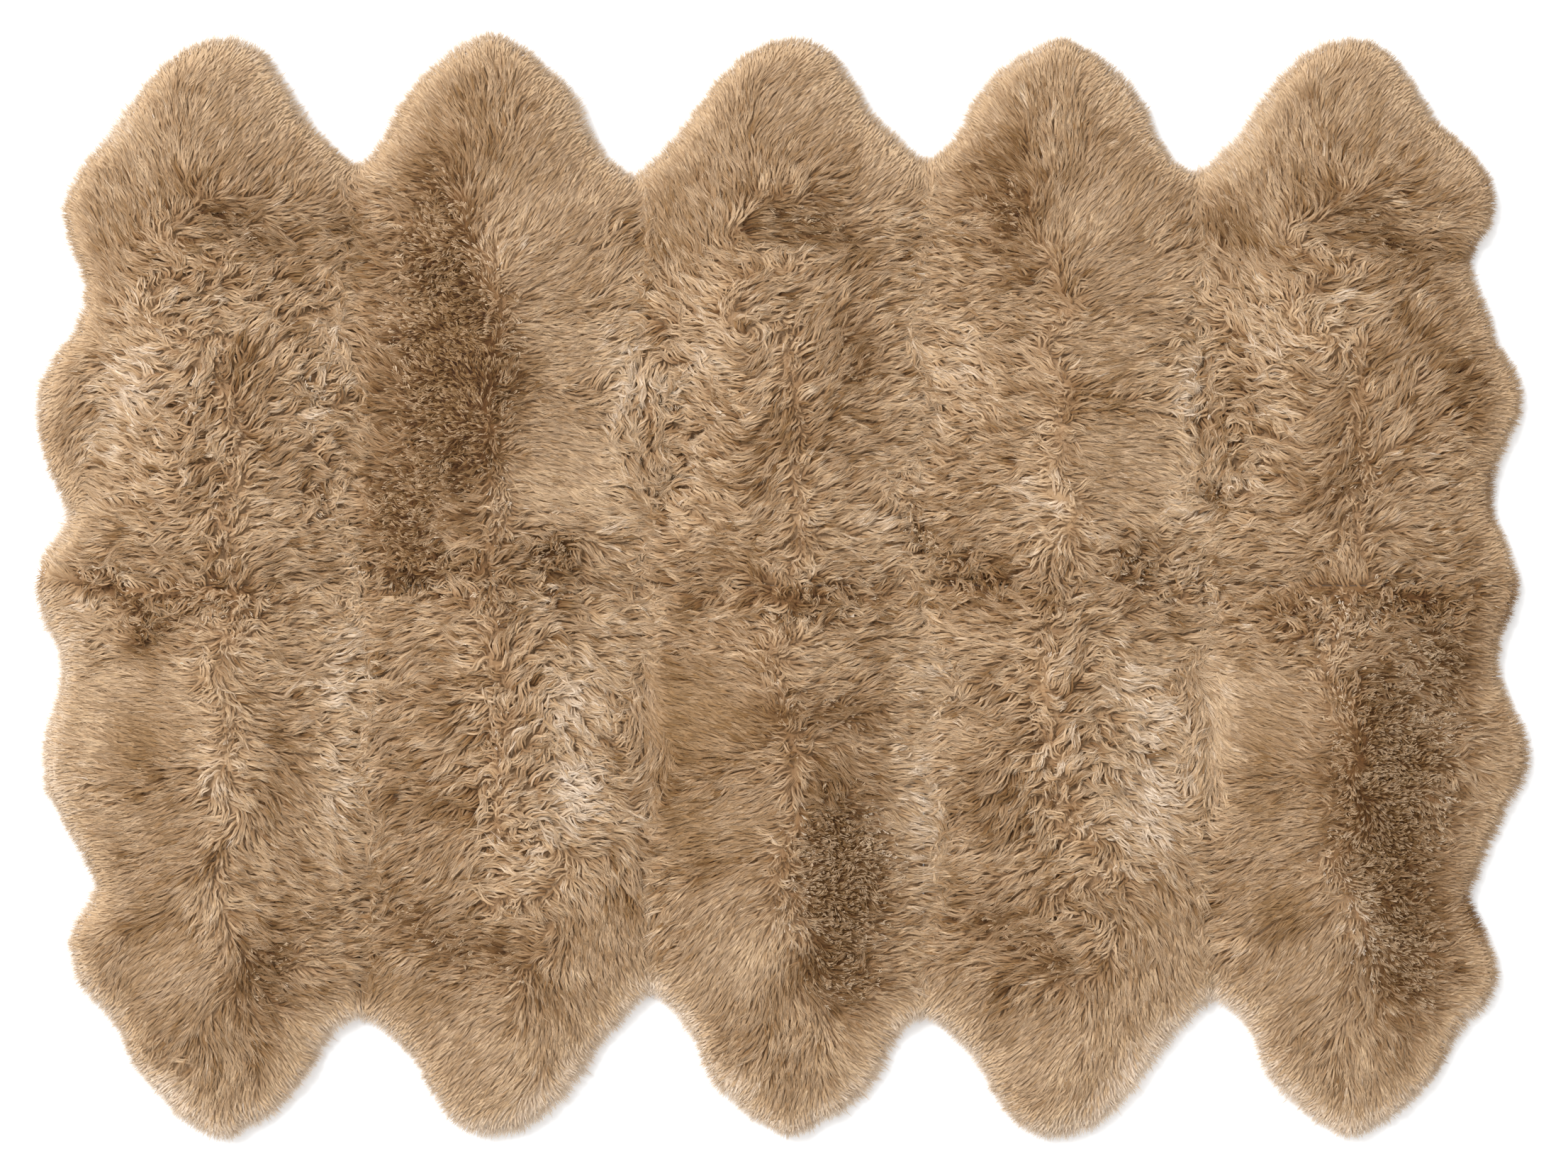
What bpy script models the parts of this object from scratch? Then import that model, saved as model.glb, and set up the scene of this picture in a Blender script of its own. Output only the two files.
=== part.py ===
"""Sheepskin rug of ten pelts, laid flat with its wool up.

Metres, +Z up, the floor at Z = 0 and the origin under the rug's middle. The long side
runs along X. Two rows of five pelts meet on a seam along X with their tail ends, and
their neck ends point out to the back (+Y) and to the front (-Y). The tables hold
millimetres, as a maker would lay a tape on the rug.
"""
import math
from typing import NamedTuple

import bmesh
import bpy
from mathutils import Matrix, Vector, noise

MM = 0.001

# Driving sizes
RUG_WIDTH = 2.440
RUG_DEPTH = 1.810
PILE_HEIGHT = 0.047
RIM_HEIGHT = 0.016
RIM_ROUNDING = 0.075
SEAM_DIP = 0.008
SEAM_DIP_REACH = 0.040
SEWN_GAP = 0.0003
RIPPLE_HEIGHT = 0.0055
RIPPLE_SPACING = 0.12

# Mesh spacing
RIM_STEP = 0.029
EDGE_BAND = 0.018
END_CLEARANCE = 0.036
CELL = 0.047
CUT_SNAP = 0.004

# Locks of wool along the rim
LOCK_SPACING = 0.022
RIM_INSET = 0.010
LOCK_REACH = 0.0130
LOCK_ROOT_DEPTH = 0.006
LOCK_ROOT_RADIUS = 0.0125
LOCK_TIP_RADIUS = 0.0022
LOCK_THICKENING = 0.90
LOCK_SWAY = 0.45
LOCK_PARTING = 0.0015
LOCK_LIFT = 0.0005
SEAM_CLEARANCE = 0.030

WOOL_COLOUR = (0.42, 0.26, 0.145, 1.0)
WOOL_ROUGHNESS = 0.95


class Station(NamedTuple):
    """One point of a crown's flank: how far out from the crest, and how far back from it."""

    out: float
    back: float


class Crown(NamedTuple):
    """A neck end, seen with its crest up: its flanks from the crest down to the valleys."""

    left: tuple[Station, ...]
    right: tuple[Station, ...]


class Neck(NamedTuple):
    """Where a crown's crest lies, and which of the two crowns it is."""

    x: float
    y: float
    crown: Crown


class Valley(NamedTuple):
    """Where two necks of a row meet at the rim, which is also where their seam ends."""

    x: float
    y: float


class Lobe(NamedTuple):
    """One lobe of a side, from back to front: the notch before it, its swell and its fall."""

    notch: tuple[float, float]
    rise: tuple[float, float]
    brow: tuple[float, float]
    crest: tuple[float, float]
    fall: tuple[float, float]


class Lump(NamedTuple):
    """A stand or a hollow of the pile: its middle, its reach along X and Y, and its rise."""

    x: float
    y: float
    reach_x: float
    reach_y: float
    rise: float


SMOOTH_CROWN = Crown(
    left=(
        Station(18, 0), Station(62, 10), Station(84, 23), Station(119, 53),
        Station(150, 91), Station(178, 132), Station(200, 165), Station(229, 192),
    ),
    right=(
        Station(18, 1), Station(64, 29), Station(82, 58), Station(104, 86),
        Station(122, 129), Station(145, 148), Station(176, 177),
    ),
)
KNOBBY_CROWN = Crown(
    left=(
        Station(25, 6), Station(45, 24), Station(74, 35), Station(113, 73),
        Station(134, 94), Station(151, 117), Station(160, 146), Station(198, 199),
    ),
    right=(
        Station(24, 5), Station(49, 23), Station(74, 37), Station(99, 68),
        Station(123, 84), Station(157, 138), Station(166, 167), Station(185, 199),
    ),
)

BACK_NECKS = (
    Neck(-895, 894, SMOOTH_CROWN),
    Neck(-469, 905, KNOBBY_CROWN),
    Neck(28, 896, SMOOTH_CROWN),
    Neck(452, 899, KNOBBY_CROWN),
    Neck(936, 895, SMOOTH_CROWN),
)
FRONT_NECKS = (
    Neck(-903, -904, KNOBBY_CROWN),
    Neck(-476, -896, SMOOTH_CROWN),
    Neck(18, -902, KNOBBY_CROWN),
    Neck(437, -900, SMOOTH_CROWN),
    Neck(926, -902, KNOBBY_CROWN),
)
BACK_VALLEYS = (Valley(-689, 685), Valley(-237, 669), Valley(236, 696), Valley(673, 676))
FRONT_VALLEYS = (Valley(-681, -702), Valley(-208, -662), Valley(230, -704), Valley(703, -670))
ROW_SEAM_Y = 1.0

# The sides' lobes. The middle one on each side lies across the seam between the rows.
LEFT_LOBES = (
    Lobe((-1144, 670), (-1156, 650), (-1166, 628), (-1172, 602), (-1156, 548)),
    Lobe((-1133, 491), (-1146, 421), (-1178, 382), (-1213, 310), (-1198, 205)),
    Lobe((-1157, 113), (-1184, 74), (-1205, 50), (-1218, 1), (-1187, -80)),
    Lobe((-1169, -142), (-1185, -199), (-1196, -235), (-1202, -312), (-1168, -388)),
    Lobe((-1114, -487), (-1131, -521), (-1152, -544), (-1163, -573), (-1142, -645)),
)
RIGHT_LOBES = (
    Lobe((1133, 699), (1150, 676), (1163, 650), (1168, 628), (1153, 570)),
    Lobe((1122, 529), (1142, 464), (1172, 392), (1211, 306), (1172, 205)),
    Lobe((1156, 140), (1174, 96), (1196, 42), (1209, 1), (1182, -70)),
    Lobe((1170, -120), (1180, -176), (1208, -219), (1218, -290), (1164, -395)),
    Lobe((1123, -503), (1139, -539), (1158, -580), (1171, -620), (1152, -684)),
)

# Where the pile stands up, and where it is pressed down
LUMPS = (
    Lump(-515, 310, 115, 270, 6.0),
    Lump(-905, 590, 110, 80, -4.0),
    Lump(-690, 565, 60, 60, 4.0),
    Lump(30, 590, 110, 70, -4.0),
    Lump(390, 585, 50, 110, 4.5),
    Lump(905, 595, 110, 70, -4.0),
    Lump(715, 585, 50, 60, 3.5),
    Lump(-965, 290, 80, 230, 3.0),
    Lump(-750, 290, 60, 210, 3.5),
    Lump(-190, 300, 70, 220, 3.5),
    Lump(710, 290, 80, 210, 3.5),
    Lump(-1040, 5, 120, 45, -5.0),
    Lump(-450, 30, 150, 50, 4.0),
    Lump(300, 60, 120, 55, -4.0),
    Lump(980, -10, 120, 40, -4.5),
    Lump(-385, -240, 110, 190, 4.0),
    Lump(465, -240, 110, 190, 4.0),
    Lump(95, -190, 110, 50, -4.0),
    Lump(90, -450, 90, 130, 6.0),
    Lump(960, -290, 130, 230, 6.5),
    Lump(-560, -540, 130, 70, 4.0),
    Lump(-845, -620, 110, 110, 5.0),
    Lump(-60, -740, 90, 70, 3.0),
    Lump(-900, 780, 90, 70, 3.5),
    Lump(440, 780, 90, 70, 3.0),
)


def lerp(start, end, share):
    """The value a share of the way from start to end."""
    return start + (end - start) * share


def crown_points(neck, side):
    """A neck's outline from left to right. side is 1 on the back row and -1 on the front."""
    left, right = neck.crown.left, neck.crown.right
    if side < 0:
        left, right = right, left
    down = [(neck.x - s.out, neck.y - side * s.back) for s in reversed(left)]
    up = [(neck.x + s.out, neck.y - side * s.back) for s in right]
    return down + [(neck.x, neck.y)] + up


def row_outline(necks, valleys, side):
    """The rim of one row's necks from left to right, with the valleys between them."""
    points = []
    for index, neck in enumerate(necks):
        points += crown_points(neck, side)
        if index < len(valleys):
            points.append((valleys[index].x, valleys[index].y))
    return points


def side_outline(lobes):
    """A side's outline from back to front."""
    return [point for lobe in lobes for point in lobe]


def rug_outline():
    """The points that the whole rim passes through, clockwise from the back left, in metres."""
    points = row_outline(BACK_NECKS, BACK_VALLEYS, 1)
    points += side_outline(RIGHT_LOBES)
    points += reversed(row_outline(FRONT_NECKS, FRONT_VALLEYS, -1))
    points += reversed(side_outline(LEFT_LOBES))
    return [Vector((x * MM, y * MM)) for x, y in points]


def smooth_span(before, start, end, after, steps):
    """Points from start, and short of end, on a curve that also heeds the two around them."""
    leave = (end - before) * 0.5 * min(1.0, (end - start).length / (start - before).length)
    arrive = (after - start) * 0.5 * min(1.0, (end - start).length / (after - end).length)
    span = []
    for step in range(steps):
        t = step / steps
        span.append(
            start * (2 * t**3 - 3 * t**2 + 1)
            + leave * (t**3 - 2 * t**2 + t)
            + end * (3 * t**2 - 2 * t**3)
            + arrive * (t**3 - t**2)
        )
    return span


def rim_curve(step):
    """The whole rim as a closed run of points about a step apart."""
    knots = rug_outline()
    count = len(knots)
    run = []
    for index in range(count):
        start, end = knots[index], knots[(index + 1) % count]
        steps = max(1, round((end - start).length / step))
        run += smooth_span(knots[index - 1], start, end, knots[(index + 2) % count], steps)
    return run


def outward(run, index):
    """The direction that points out of the closed, clockwise run at one of its points."""
    along = run[(index + 1) % len(run)] - run[index - 1]
    return Vector((-along.y, along.x)).normalized()


def drawn_in(run, inset):
    """The closed run, moved in by the inset."""
    return [point - outward(run, index) * inset for index, point in enumerate(run)]


def nearest(run, x, y):
    """The index of the run's point that is nearest to a place in millimetres."""
    place = Vector((x * MM, y * MM))
    return min(range(len(run)), key=lambda index: (run[index] - place).length)


def seam_x(column, y):
    """Where the seam at the right of a column crosses a Y in metres, in metres."""
    back, front = BACK_VALLEYS[column], FRONT_VALLEYS[column]
    share = (back.y * MM - y) / ((back.y - front.y) * MM)
    return lerp(back.x, front.x, share) * MM


def rim_share(run, start, end):
    """The points of the closed run from one index on to another, both taken."""
    if end >= start:
        return run[start:end + 1]
    return run[start:] + run[:end + 1]


def seam_ends(run):
    """The rim's indices at the seams' ends, clockwise from the left side."""
    places = [LEFT_LOBES[2].crest]
    places += [(valley.x, valley.y) for valley in BACK_VALLEYS]
    places += [RIGHT_LOBES[2].crest]
    places += [(valley.x, valley.y) for valley in reversed(FRONT_VALLEYS)]
    return [nearest(run, x, y) for x, y in places]


def keep_off_seams(point, column, side):
    """The point, held half a sewn gap away from its pelt's seams."""
    gap = SEWN_GAP / 2
    low = seam_x(column - 1, point.y) + gap if column > 0 else -math.inf
    high = seam_x(column, point.y) - gap if column < len(BACK_VALLEYS) else math.inf
    x = min(max(point.x, low), high)
    y = ROW_SEAM_Y * MM + side * max(side * (point.y - ROW_SEAM_Y * MM), gap)
    return Vector((x, y))


def seam_corner(column):
    """Where the seam at the right of a column meets the seam between the rows."""
    y = ROW_SEAM_Y * MM
    return Vector((seam_x(column, y), y))


def cleared_ends(rim):
    """The rim without the points so near to its ends that the edge band would fold there."""
    inner = [
        point for point in rim[1:-1]
        if min((point - rim[0]).length, (point - rim[-1]).length) > END_CLEARANCE
    ]
    return [rim[0]] + inner + [rim[-1]]


def pelt_border(run, ends, column, side):
    """One pelt's closed border, clockwise, and its share of the rim."""
    count = len(ends)
    slot = column if side > 0 else count - 1 - column
    rim = cleared_ends(rim_share(run, ends[slot], ends[(slot + 1) % count]))
    corners = []
    if column < len(BACK_VALLEYS):
        corners.append(seam_corner(column))
    if column > 0:
        corners.append(seam_corner(column - 1))
    if side < 0:
        corners.reverse()
    return [keep_off_seams(point, column, side) for point in rim + corners], rim


def gap_to_run(place, chain):
    """The distance from a place to an open chain of points."""
    best = math.inf
    for start, end in zip(chain, chain[1:]):
        along = end - start
        share = (place - start).dot(along) / max(along.length_squared, 1e-12)
        foot = start + along * min(max(share, 0.0), 1.0)
        best = min(best, (place - foot).length)
    return best


def gap_to_seam(place):
    """The distance from a place to the nearest seam."""
    gaps = [abs(place.x - seam_x(column, place.y)) for column in range(len(BACK_VALLEYS))]
    return min(gaps + [abs(place.y - ROW_SEAM_Y * MM)])


def lumps_at(place):
    """How much the stands and hollows of the pile raise it at a place."""
    rise = 0.0
    for lump in LUMPS:
        across = (place.x / MM - lump.x) / lump.reach_x
        along = (place.y / MM - lump.y) / lump.reach_y
        rise += lump.rise * MM * math.exp(-(across**2 + along**2))
    return rise


def pile_top(place, rim):
    """The height of the wool at a place: full inside, rounded off at the rim, dipped at seams."""
    ripple = noise.noise(Vector((place.x, place.y, 0.0)) / RIPPLE_SPACING) * RIPPLE_HEIGHT
    full = PILE_HEIGHT + ripple + lumps_at(place)
    dip = max(0.0, 1.0 - gap_to_seam(place) / SEAM_DIP_REACH)
    full -= SEAM_DIP * dip * dip
    inward = min(gap_to_run(place, rim) / RIM_ROUNDING, 1.0)
    round_off = math.sqrt(1.0 - (1.0 - inward) ** 2)
    return lerp(RIM_HEIGHT, full, round_off)


def cut_in_cells(mesh, faces):
    """Cut the top faces along lines a cell apart each way, so that they can take the lumps."""
    spans = (RUG_WIDTH, RUG_DEPTH)
    live = list(faces)
    for axis, span in enumerate(spans):
        normal = Vector((0.0, 0.0, 0.0))
        normal[axis] = 1.0
        count = int(span / 2 / CELL)
        for step in range(-count, count + 1):
            geometry = set(live)
            for face in live:
                geometry.update(face.edges)
                geometry.update(face.verts)
            cut = bmesh.ops.bisect_plane(
                mesh, geom=list(geometry), dist=CUT_SNAP,
                plane_co=normal * (step * CELL), plane_no=normal,
            )
            live = [item for item in cut["geom"] if isinstance(item, bmesh.types.BMFace)]
    return live


def pelt_mesh(name, border, rim):
    """One pelt's closed slab: flat below, with the lumpy crown of its wool above."""
    mesh = bmesh.new()
    ring = [mesh.verts.new((point.x, point.y, 0.0)) for point in border]
    edges = [mesh.edges.new((ring[index - 1], ring[index])) for index in range(len(ring))]
    sole = bmesh.ops.contextual_create(mesh, geom=edges)["faces"]
    raised = bmesh.ops.extrude_face_region(mesh, geom=sole, use_keep_orig=True)["geom"]
    crown = [item for item in raised if isinstance(item, bmesh.types.BMFace)]
    bmesh.ops.translate(mesh, verts=crown[0].verts, vec=(0.0, 0.0, RIM_HEIGHT))
    bmesh.ops.inset_region(mesh, faces=crown, thickness=EDGE_BAND, use_even_offset=True)
    top = [face for face in mesh.faces if min(vert.co.z for vert in face.verts) > RIM_HEIGHT / 2]
    top = cut_in_cells(mesh, top)
    for vert in {vert for face in top for vert in face.verts}:
        vert.co.z = pile_top(Vector((vert.co.x, vert.co.y)), rim)
    bmesh.ops.triangulate(mesh, faces=mesh.faces[:], quad_method="BEAUTY", ngon_method="BEAUTY")
    bmesh.ops.recalc_face_normals(mesh, faces=mesh.faces[:])
    data = bpy.data.meshes.new(name)
    mesh.to_mesh(data)
    mesh.free()
    return data


class Lock(NamedTuple):
    """A lock's place: its root inside the rim, its tip, and the radius of its root."""

    root: Vector
    tip: Vector
    radius: float

    def thick_points(self):
        """Places along the lock with its radius there."""
        shares = (0.0, 0.35, 0.7, 1.0)
        return [(self.root.lerp(self.tip, s), lerp(self.radius, LOCK_TIP_RADIUS, s)) for s in shares]

    def clears(self, other):
        """Whether the two locks stay parted all along."""
        return all(
            (place - there).length > radius + reach + LOCK_PARTING
            for place, radius in self.thick_points()
            for there, reach in other.thick_points()
        )


def add_lock(mesh, lock):
    """Add one three-sided lock, lying level on the floor from its root outward."""
    span = lock.tip - lock.root
    depth = span.length
    made = bmesh.ops.create_cone(
        mesh, cap_ends=True, segments=3, radius1=lock.radius, radius2=LOCK_TIP_RADIUS, depth=depth,
    )["verts"]
    for vert in made:
        share = (vert.co.z + depth / 2) / depth
        vert.co.y += lerp(lock.radius, LOCK_TIP_RADIUS, share) / 2
    along = Vector((span.x, span.y, 0.0)) / depth
    across = Vector((along.y, -along.x, 0.0))
    up = Vector((0.0, 0.0, LOCK_THICKENING))
    turn = Matrix((across, up, along)).transposed().to_4x4()
    middle = (lock.root + lock.tip) / 2
    place = Matrix.Translation((middle.x, middle.y, LOCK_LIFT))
    bmesh.ops.transform(mesh, matrix=place @ turn, verts=made)


def lock_wave(index, turns):
    """A value from -1 to 1 that varies from lock to lock without a pattern that shows."""
    return math.sin(index * turns + math.cos(index * turns * 0.618) * 2.0)


def lock_at(start, end, number):
    """The lock that grows midway along one stretch of the rim, swayed and sized by its number."""
    along = (end - start).normalized()
    out = Vector((-along.y, along.x))
    foot = (start + end) / 2
    direction = (out + along * LOCK_SWAY * lock_wave(number, 2.4)).normalized()
    reach = LOCK_REACH * (1.0 + 0.25 * lock_wave(number, 1.7))
    radius = LOCK_ROOT_RADIUS * (1.0 + 0.18 * lock_wave(number, 3.1))
    return Lock(foot - direction * LOCK_ROOT_DEPTH, foot + direction * reach, radius)


def locks_mesh(name, rim, first_index):
    """The locks along one pelt's rim, kept clear of its seams' ends."""
    placed = []
    travelled = 0.0
    due = LOCK_SPACING
    number = first_index
    for start, end in zip(rim, rim[1:]):
        travelled += (end - start).length
        near_end = min((start - rim[0]).length, (end - rim[-1]).length) < SEAM_CLEARANCE
        if travelled < due or near_end:
            continue
        number += 1
        lock = lock_at(start, end, number)
        if all(lock.clears(other) for other in placed):
            due = travelled + LOCK_SPACING
            placed.append(lock)
    mesh = bmesh.new()
    for lock in placed:
        add_lock(mesh, lock)
    bmesh.ops.recalc_face_normals(mesh, faces=mesh.faces[:])
    data = bpy.data.meshes.new(name)
    mesh.to_mesh(data)
    mesh.free()
    return data, number


def wool_material():
    """The wool's plain finish."""
    material = bpy.data.materials.new("wool")
    material.use_nodes = True
    shader = material.node_tree.nodes["Principled BSDF"]
    shader.inputs["Base Color"].default_value = WOOL_COLOUR
    shader.inputs["Roughness"].default_value = WOOL_ROUGHNESS
    shader.inputs["Metallic"].default_value = 0.0
    material.diffuse_color = WOOL_COLOUR
    return material


def collection(name):
    """A new collection in the scene."""
    made = bpy.data.collections.new(name)
    bpy.context.scene.collection.children.link(made)
    return made


def join_locks(pelt, locks):
    """Fuse the locks to their pelt."""
    union = pelt.modifiers.new("locks", "BOOLEAN")
    union.operation = "UNION"
    union.solver = "EXACT"
    union.use_self = True
    union.object = locks


def build_rug():
    """Build the ten pelts with their rim locks."""
    rug = collection("sheepskin_rug")
    cutters = collection("rim_locks")
    wool = wool_material()
    silhouette = rim_curve(RIM_STEP)
    ends = seam_ends(silhouette)
    run = drawn_in(silhouette, RIM_INSET)
    lock_number = 0
    for side, row in ((1, "back"), (-1, "front")):
        for column in range(len(BACK_NECKS)):
            name = f"pelt_{row}_{column + 1}"
            border, rim = pelt_border(run, ends, column, side)
            pelt = bpy.data.objects.new(name, pelt_mesh(name, border, rim))
            pelt.data.materials.append(wool)
            rug.objects.link(pelt)
            data, lock_number = locks_mesh(f"{name}_locks", rim, lock_number)
            locks = bpy.data.objects.new(f"{name}_locks", data)
            locks.hide_render = True
            locks.display_type = "WIRE"
            cutters.objects.link(locks)
            join_locks(pelt, locks)


def clear_scene():
    """Remove the objects that the scene starts with."""
    for item in list(bpy.data.objects):
        bpy.data.objects.remove(item, do_unlink=True)


clear_scene()
build_rug()
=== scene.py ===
"""Looks of a rug sewn from ten sheepskins, laid flat with its long taupe wool up.

Each pelt is a thin skin with a fleece on it. The fleece is a low undercoat with tens of
thousands of tapered locks, which are rooted in it, lean over and lie on one another. How
the wool lies is set out in the tables below, as a dresser would chart a rug:
where it stands up, where it is crimped, where it is brushed flat, where it parts, and
which way it lies. The tables hold millimetres from the rug's middle; everything else is
in metres.
"""
from __future__ import annotations

import logging
import math
from dataclasses import dataclass
from enum import Enum

import bmesh
import bpy
import numpy as np
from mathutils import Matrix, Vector
from mathutils.bvhtree import BVHTree
from mathutils.kdtree import KDTree

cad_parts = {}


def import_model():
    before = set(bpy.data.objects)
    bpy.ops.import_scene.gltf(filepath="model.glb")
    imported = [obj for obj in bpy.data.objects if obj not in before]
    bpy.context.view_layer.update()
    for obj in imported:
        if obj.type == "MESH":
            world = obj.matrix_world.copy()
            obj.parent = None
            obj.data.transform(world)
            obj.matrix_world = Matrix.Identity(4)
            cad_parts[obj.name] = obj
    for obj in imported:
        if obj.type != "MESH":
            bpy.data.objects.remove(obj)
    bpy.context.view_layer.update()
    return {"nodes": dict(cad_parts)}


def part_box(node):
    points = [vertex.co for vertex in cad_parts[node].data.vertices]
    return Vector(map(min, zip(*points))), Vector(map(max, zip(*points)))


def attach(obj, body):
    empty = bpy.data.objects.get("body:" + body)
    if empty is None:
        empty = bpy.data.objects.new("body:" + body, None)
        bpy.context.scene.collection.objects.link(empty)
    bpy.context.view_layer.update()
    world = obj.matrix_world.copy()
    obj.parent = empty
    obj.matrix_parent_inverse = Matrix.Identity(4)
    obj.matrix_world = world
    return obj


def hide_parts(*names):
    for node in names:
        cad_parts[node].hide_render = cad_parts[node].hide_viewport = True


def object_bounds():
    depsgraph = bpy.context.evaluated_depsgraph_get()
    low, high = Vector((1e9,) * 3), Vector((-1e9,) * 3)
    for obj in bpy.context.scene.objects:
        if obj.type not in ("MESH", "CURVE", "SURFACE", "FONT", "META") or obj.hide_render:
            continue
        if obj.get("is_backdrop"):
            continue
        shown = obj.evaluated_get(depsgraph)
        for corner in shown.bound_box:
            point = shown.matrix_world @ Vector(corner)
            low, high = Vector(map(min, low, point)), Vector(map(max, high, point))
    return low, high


LOG = logging.getLogger("sheepskin_rug")

MM = 0.001
SEED = 20
UV_NAME = "OFBake"

# The height of the finest bumps, in metres
NAP = 0.0006

# How an oval fades out from its middle
OVAL_FADING = 0.8
OVAL_STEEPNESS = 1.4

# The range of the wool's tone, and the breadth of tone that a fibre and a lock take up
DARKEST = 0.01
PALEST = 0.99
SINGLE_STRIP = 0.003
LOCK_STRIP = 0.010

Array = np.ndarray
Colour = tuple[float, float, float]
UP = np.array((0.0, 0.0, 1.0))
Socket = bpy.types.NodeSocket


def unit(rows: Array) -> Array:
    """The rows, each brought to a length of 1."""
    return rows / np.maximum(np.linalg.norm(rows, axis=-1, keepdims=True), 1e-6)


def way_of(angle: Array) -> Array:
    """The direction at each angle, which is anticlockwise from the right."""
    return np.stack((np.cos(angle), np.sin(angle)), axis=1)


def angle_of(way: Array) -> Array:
    """The angle of each direction, anticlockwise from the right."""
    return np.arctan2(way[:, 1], way[:, 0])


def tree_of(places: Array) -> KDTree:
    """A search tree of places.

    Args:
        places: Places on the rug, in metres, one per row.

    Returns:
        The tree, which finds the row of the place nearest to a point.
    """
    tree = KDTree(len(places))
    for index, (x, y) in enumerate(places):
        tree.insert((x, y, 0.0), index)
    tree.balance()
    return tree


def between(knots: Array, low: Array, high: Array, part: Array) -> Array:
    """The values between a grid's knots.

    Args:
        knots: A value, or a row of them, for each knot.
        low: The knot below each place, as its two numbers.
        high: The knot above each place.
        part: How far each place lies from the one to the other, from 0 to 1 each way.

    Returns:
        The value, or the row of them, at each place.
    """
    across, along = part.T[:, :, None] if knots.ndim == 3 else part.T
    near = knots[low[:, 0], low[:, 1]] * (1 - across) + knots[high[:, 0], low[:, 1]] * across
    far = knots[low[:, 0], high[:, 1]] * (1 - across) + knots[high[:, 0], high[:, 1]] * across
    return near * (1 - along) + far * along


def placed(name: str, data: bpy.types.ID) -> bpy.types.Object:
    """Put something into the scene.

    Args:
        name: The object's name.
        data: Its mesh, its lamp or its camera.

    Returns:
        The object.
    """
    made = bpy.data.objects.new(name, data)
    bpy.context.scene.collection.objects.link(made)
    return made


class State(Enum):
    """How a stretch of wool lies."""

    LOOSE = "loose"
    BRUSHED = "brushed"
    STANDING = "standing"
    CRIMPED = "crimped"
    TUFTED = "tufted"


@dataclass(frozen=True)
class Habit:
    """What the locks do in one state.

    Attributes:
        reach: How far a lock's tip lies from its root, in metres.
        rise: How steeply a lock leaves the undercoat, from 0 for flat to 1 for upright.
        crimp: The height of a lock's waves, in metres.
        bunching: How far the locks of a tuft draw together at their tips, from 0 to 1.
        straying: How far a tuft's direction strays from the lay, in degrees.
        breadth: The breadth of a lock beside that of a loose one.
        contrast: How much the tufts differ in tone.
        loft: How high the locks' roots show, as a share of the pile: the lower, the deeper the gaps.
    """

    reach: float
    rise: float
    crimp: float
    bunching: float
    straying: float
    breadth: float
    contrast: float
    loft: float


HABITS = {
    State.LOOSE: Habit(0.036, 0.30, 0.0016, 0.38, 13.0, 0.92, 0.080, 0.80),
    State.BRUSHED: Habit(0.042, 0.15, 0.0008, 0.12, 4.5, 0.88, 0.018, 0.95),
    State.STANDING: Habit(0.016, 0.80, 0.0004, 0.50, 30.0, 0.45, 0.110, 0.76),
    State.CRIMPED: Habit(0.038, 0.35, 0.0046, 0.68, 24.0, 0.95, 0.084, 0.73),
    State.TUFTED: Habit(0.022, 0.60, 0.0030, 0.75, 50.0, 0.80, 0.105, 0.70),
}


@dataclass(frozen=True)
class Oval:
    """An oval on the rug, in millimetres, turned anticlockwise by degrees, with a strength of 0 to 1."""

    x: float
    y: float
    reach_x: float
    reach_y: float
    turn: float = 0.0
    strength: float = 1.0

    def weight(self, places: Array) -> Array:
        """How strongly the oval acts.

        Args:
            places: Places on the rug, in metres, one per row.

        Returns:
            A weight for each place: the strength in the oval's middle, fading out past its edge.
        """
        angle = math.radians(self.turn)
        dx = places[:, 0] / MM - self.x
        dy = places[:, 1] / MM - self.y
        across = (dx * math.cos(angle) + dy * math.sin(angle)) / self.reach_x
        along = (dy * math.cos(angle) - dx * math.sin(angle)) / self.reach_y
        return self.strength * np.exp(-OVAL_FADING * (across**2 + along**2) ** OVAL_STEEPNESS)


@dataclass(frozen=True)
class Tint:
    """An oval of wool that is paler, above 0, or darker, below 0, in steps of a hundredth."""

    steps: float
    x: float
    y: float
    reach_x: float
    reach_y: float
    turn: float = 0.0

    def change(self, places: Array) -> Array:
        """How much the tint changes the tone at each place."""
        oval = Oval(self.x, self.y, self.reach_x, self.reach_y, self.turn)
        return 0.01 * self.steps * oval.weight(places)


@dataclass(frozen=True)
class Stroke:
    """An oval of a pelt where a comb was drawn one way.

    The pelt is taken with its neck up. The place is in millimetres right of and below the
    neck's tip, and the heading in degrees anticlockwise from the right.
    """

    right: float
    below: float
    reach_x: float
    reach_y: float
    heading: float
    smoothing: float = 0.0


@dataclass(frozen=True)
class Parting:
    """A line from which the wool falls away to both sides, dark at its foot, in millimetres."""

    x0: float
    y0: float
    x1: float
    y1: float
    width: float
    depth: float

    def foot(self, places: Array) -> tuple[Array, Array]:
        """The offsets from the line and the distances to it, both in millimetres.

        Args:
            places: Places on the rug, in metres, one per row.

        Returns:
            The offset of each place from the nearest point of the line, and its length.
        """
        start = np.array((self.x0, self.y0))
        span = np.array((self.x1, self.y1)) - start
        from_start = places / MM - start
        share = np.clip(from_start @ span / max(float(span @ span), 1.0), 0.0, 1.0)
        offset = from_start - share[:, None] * span
        return offset, np.linalg.norm(offset, axis=1)


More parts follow.
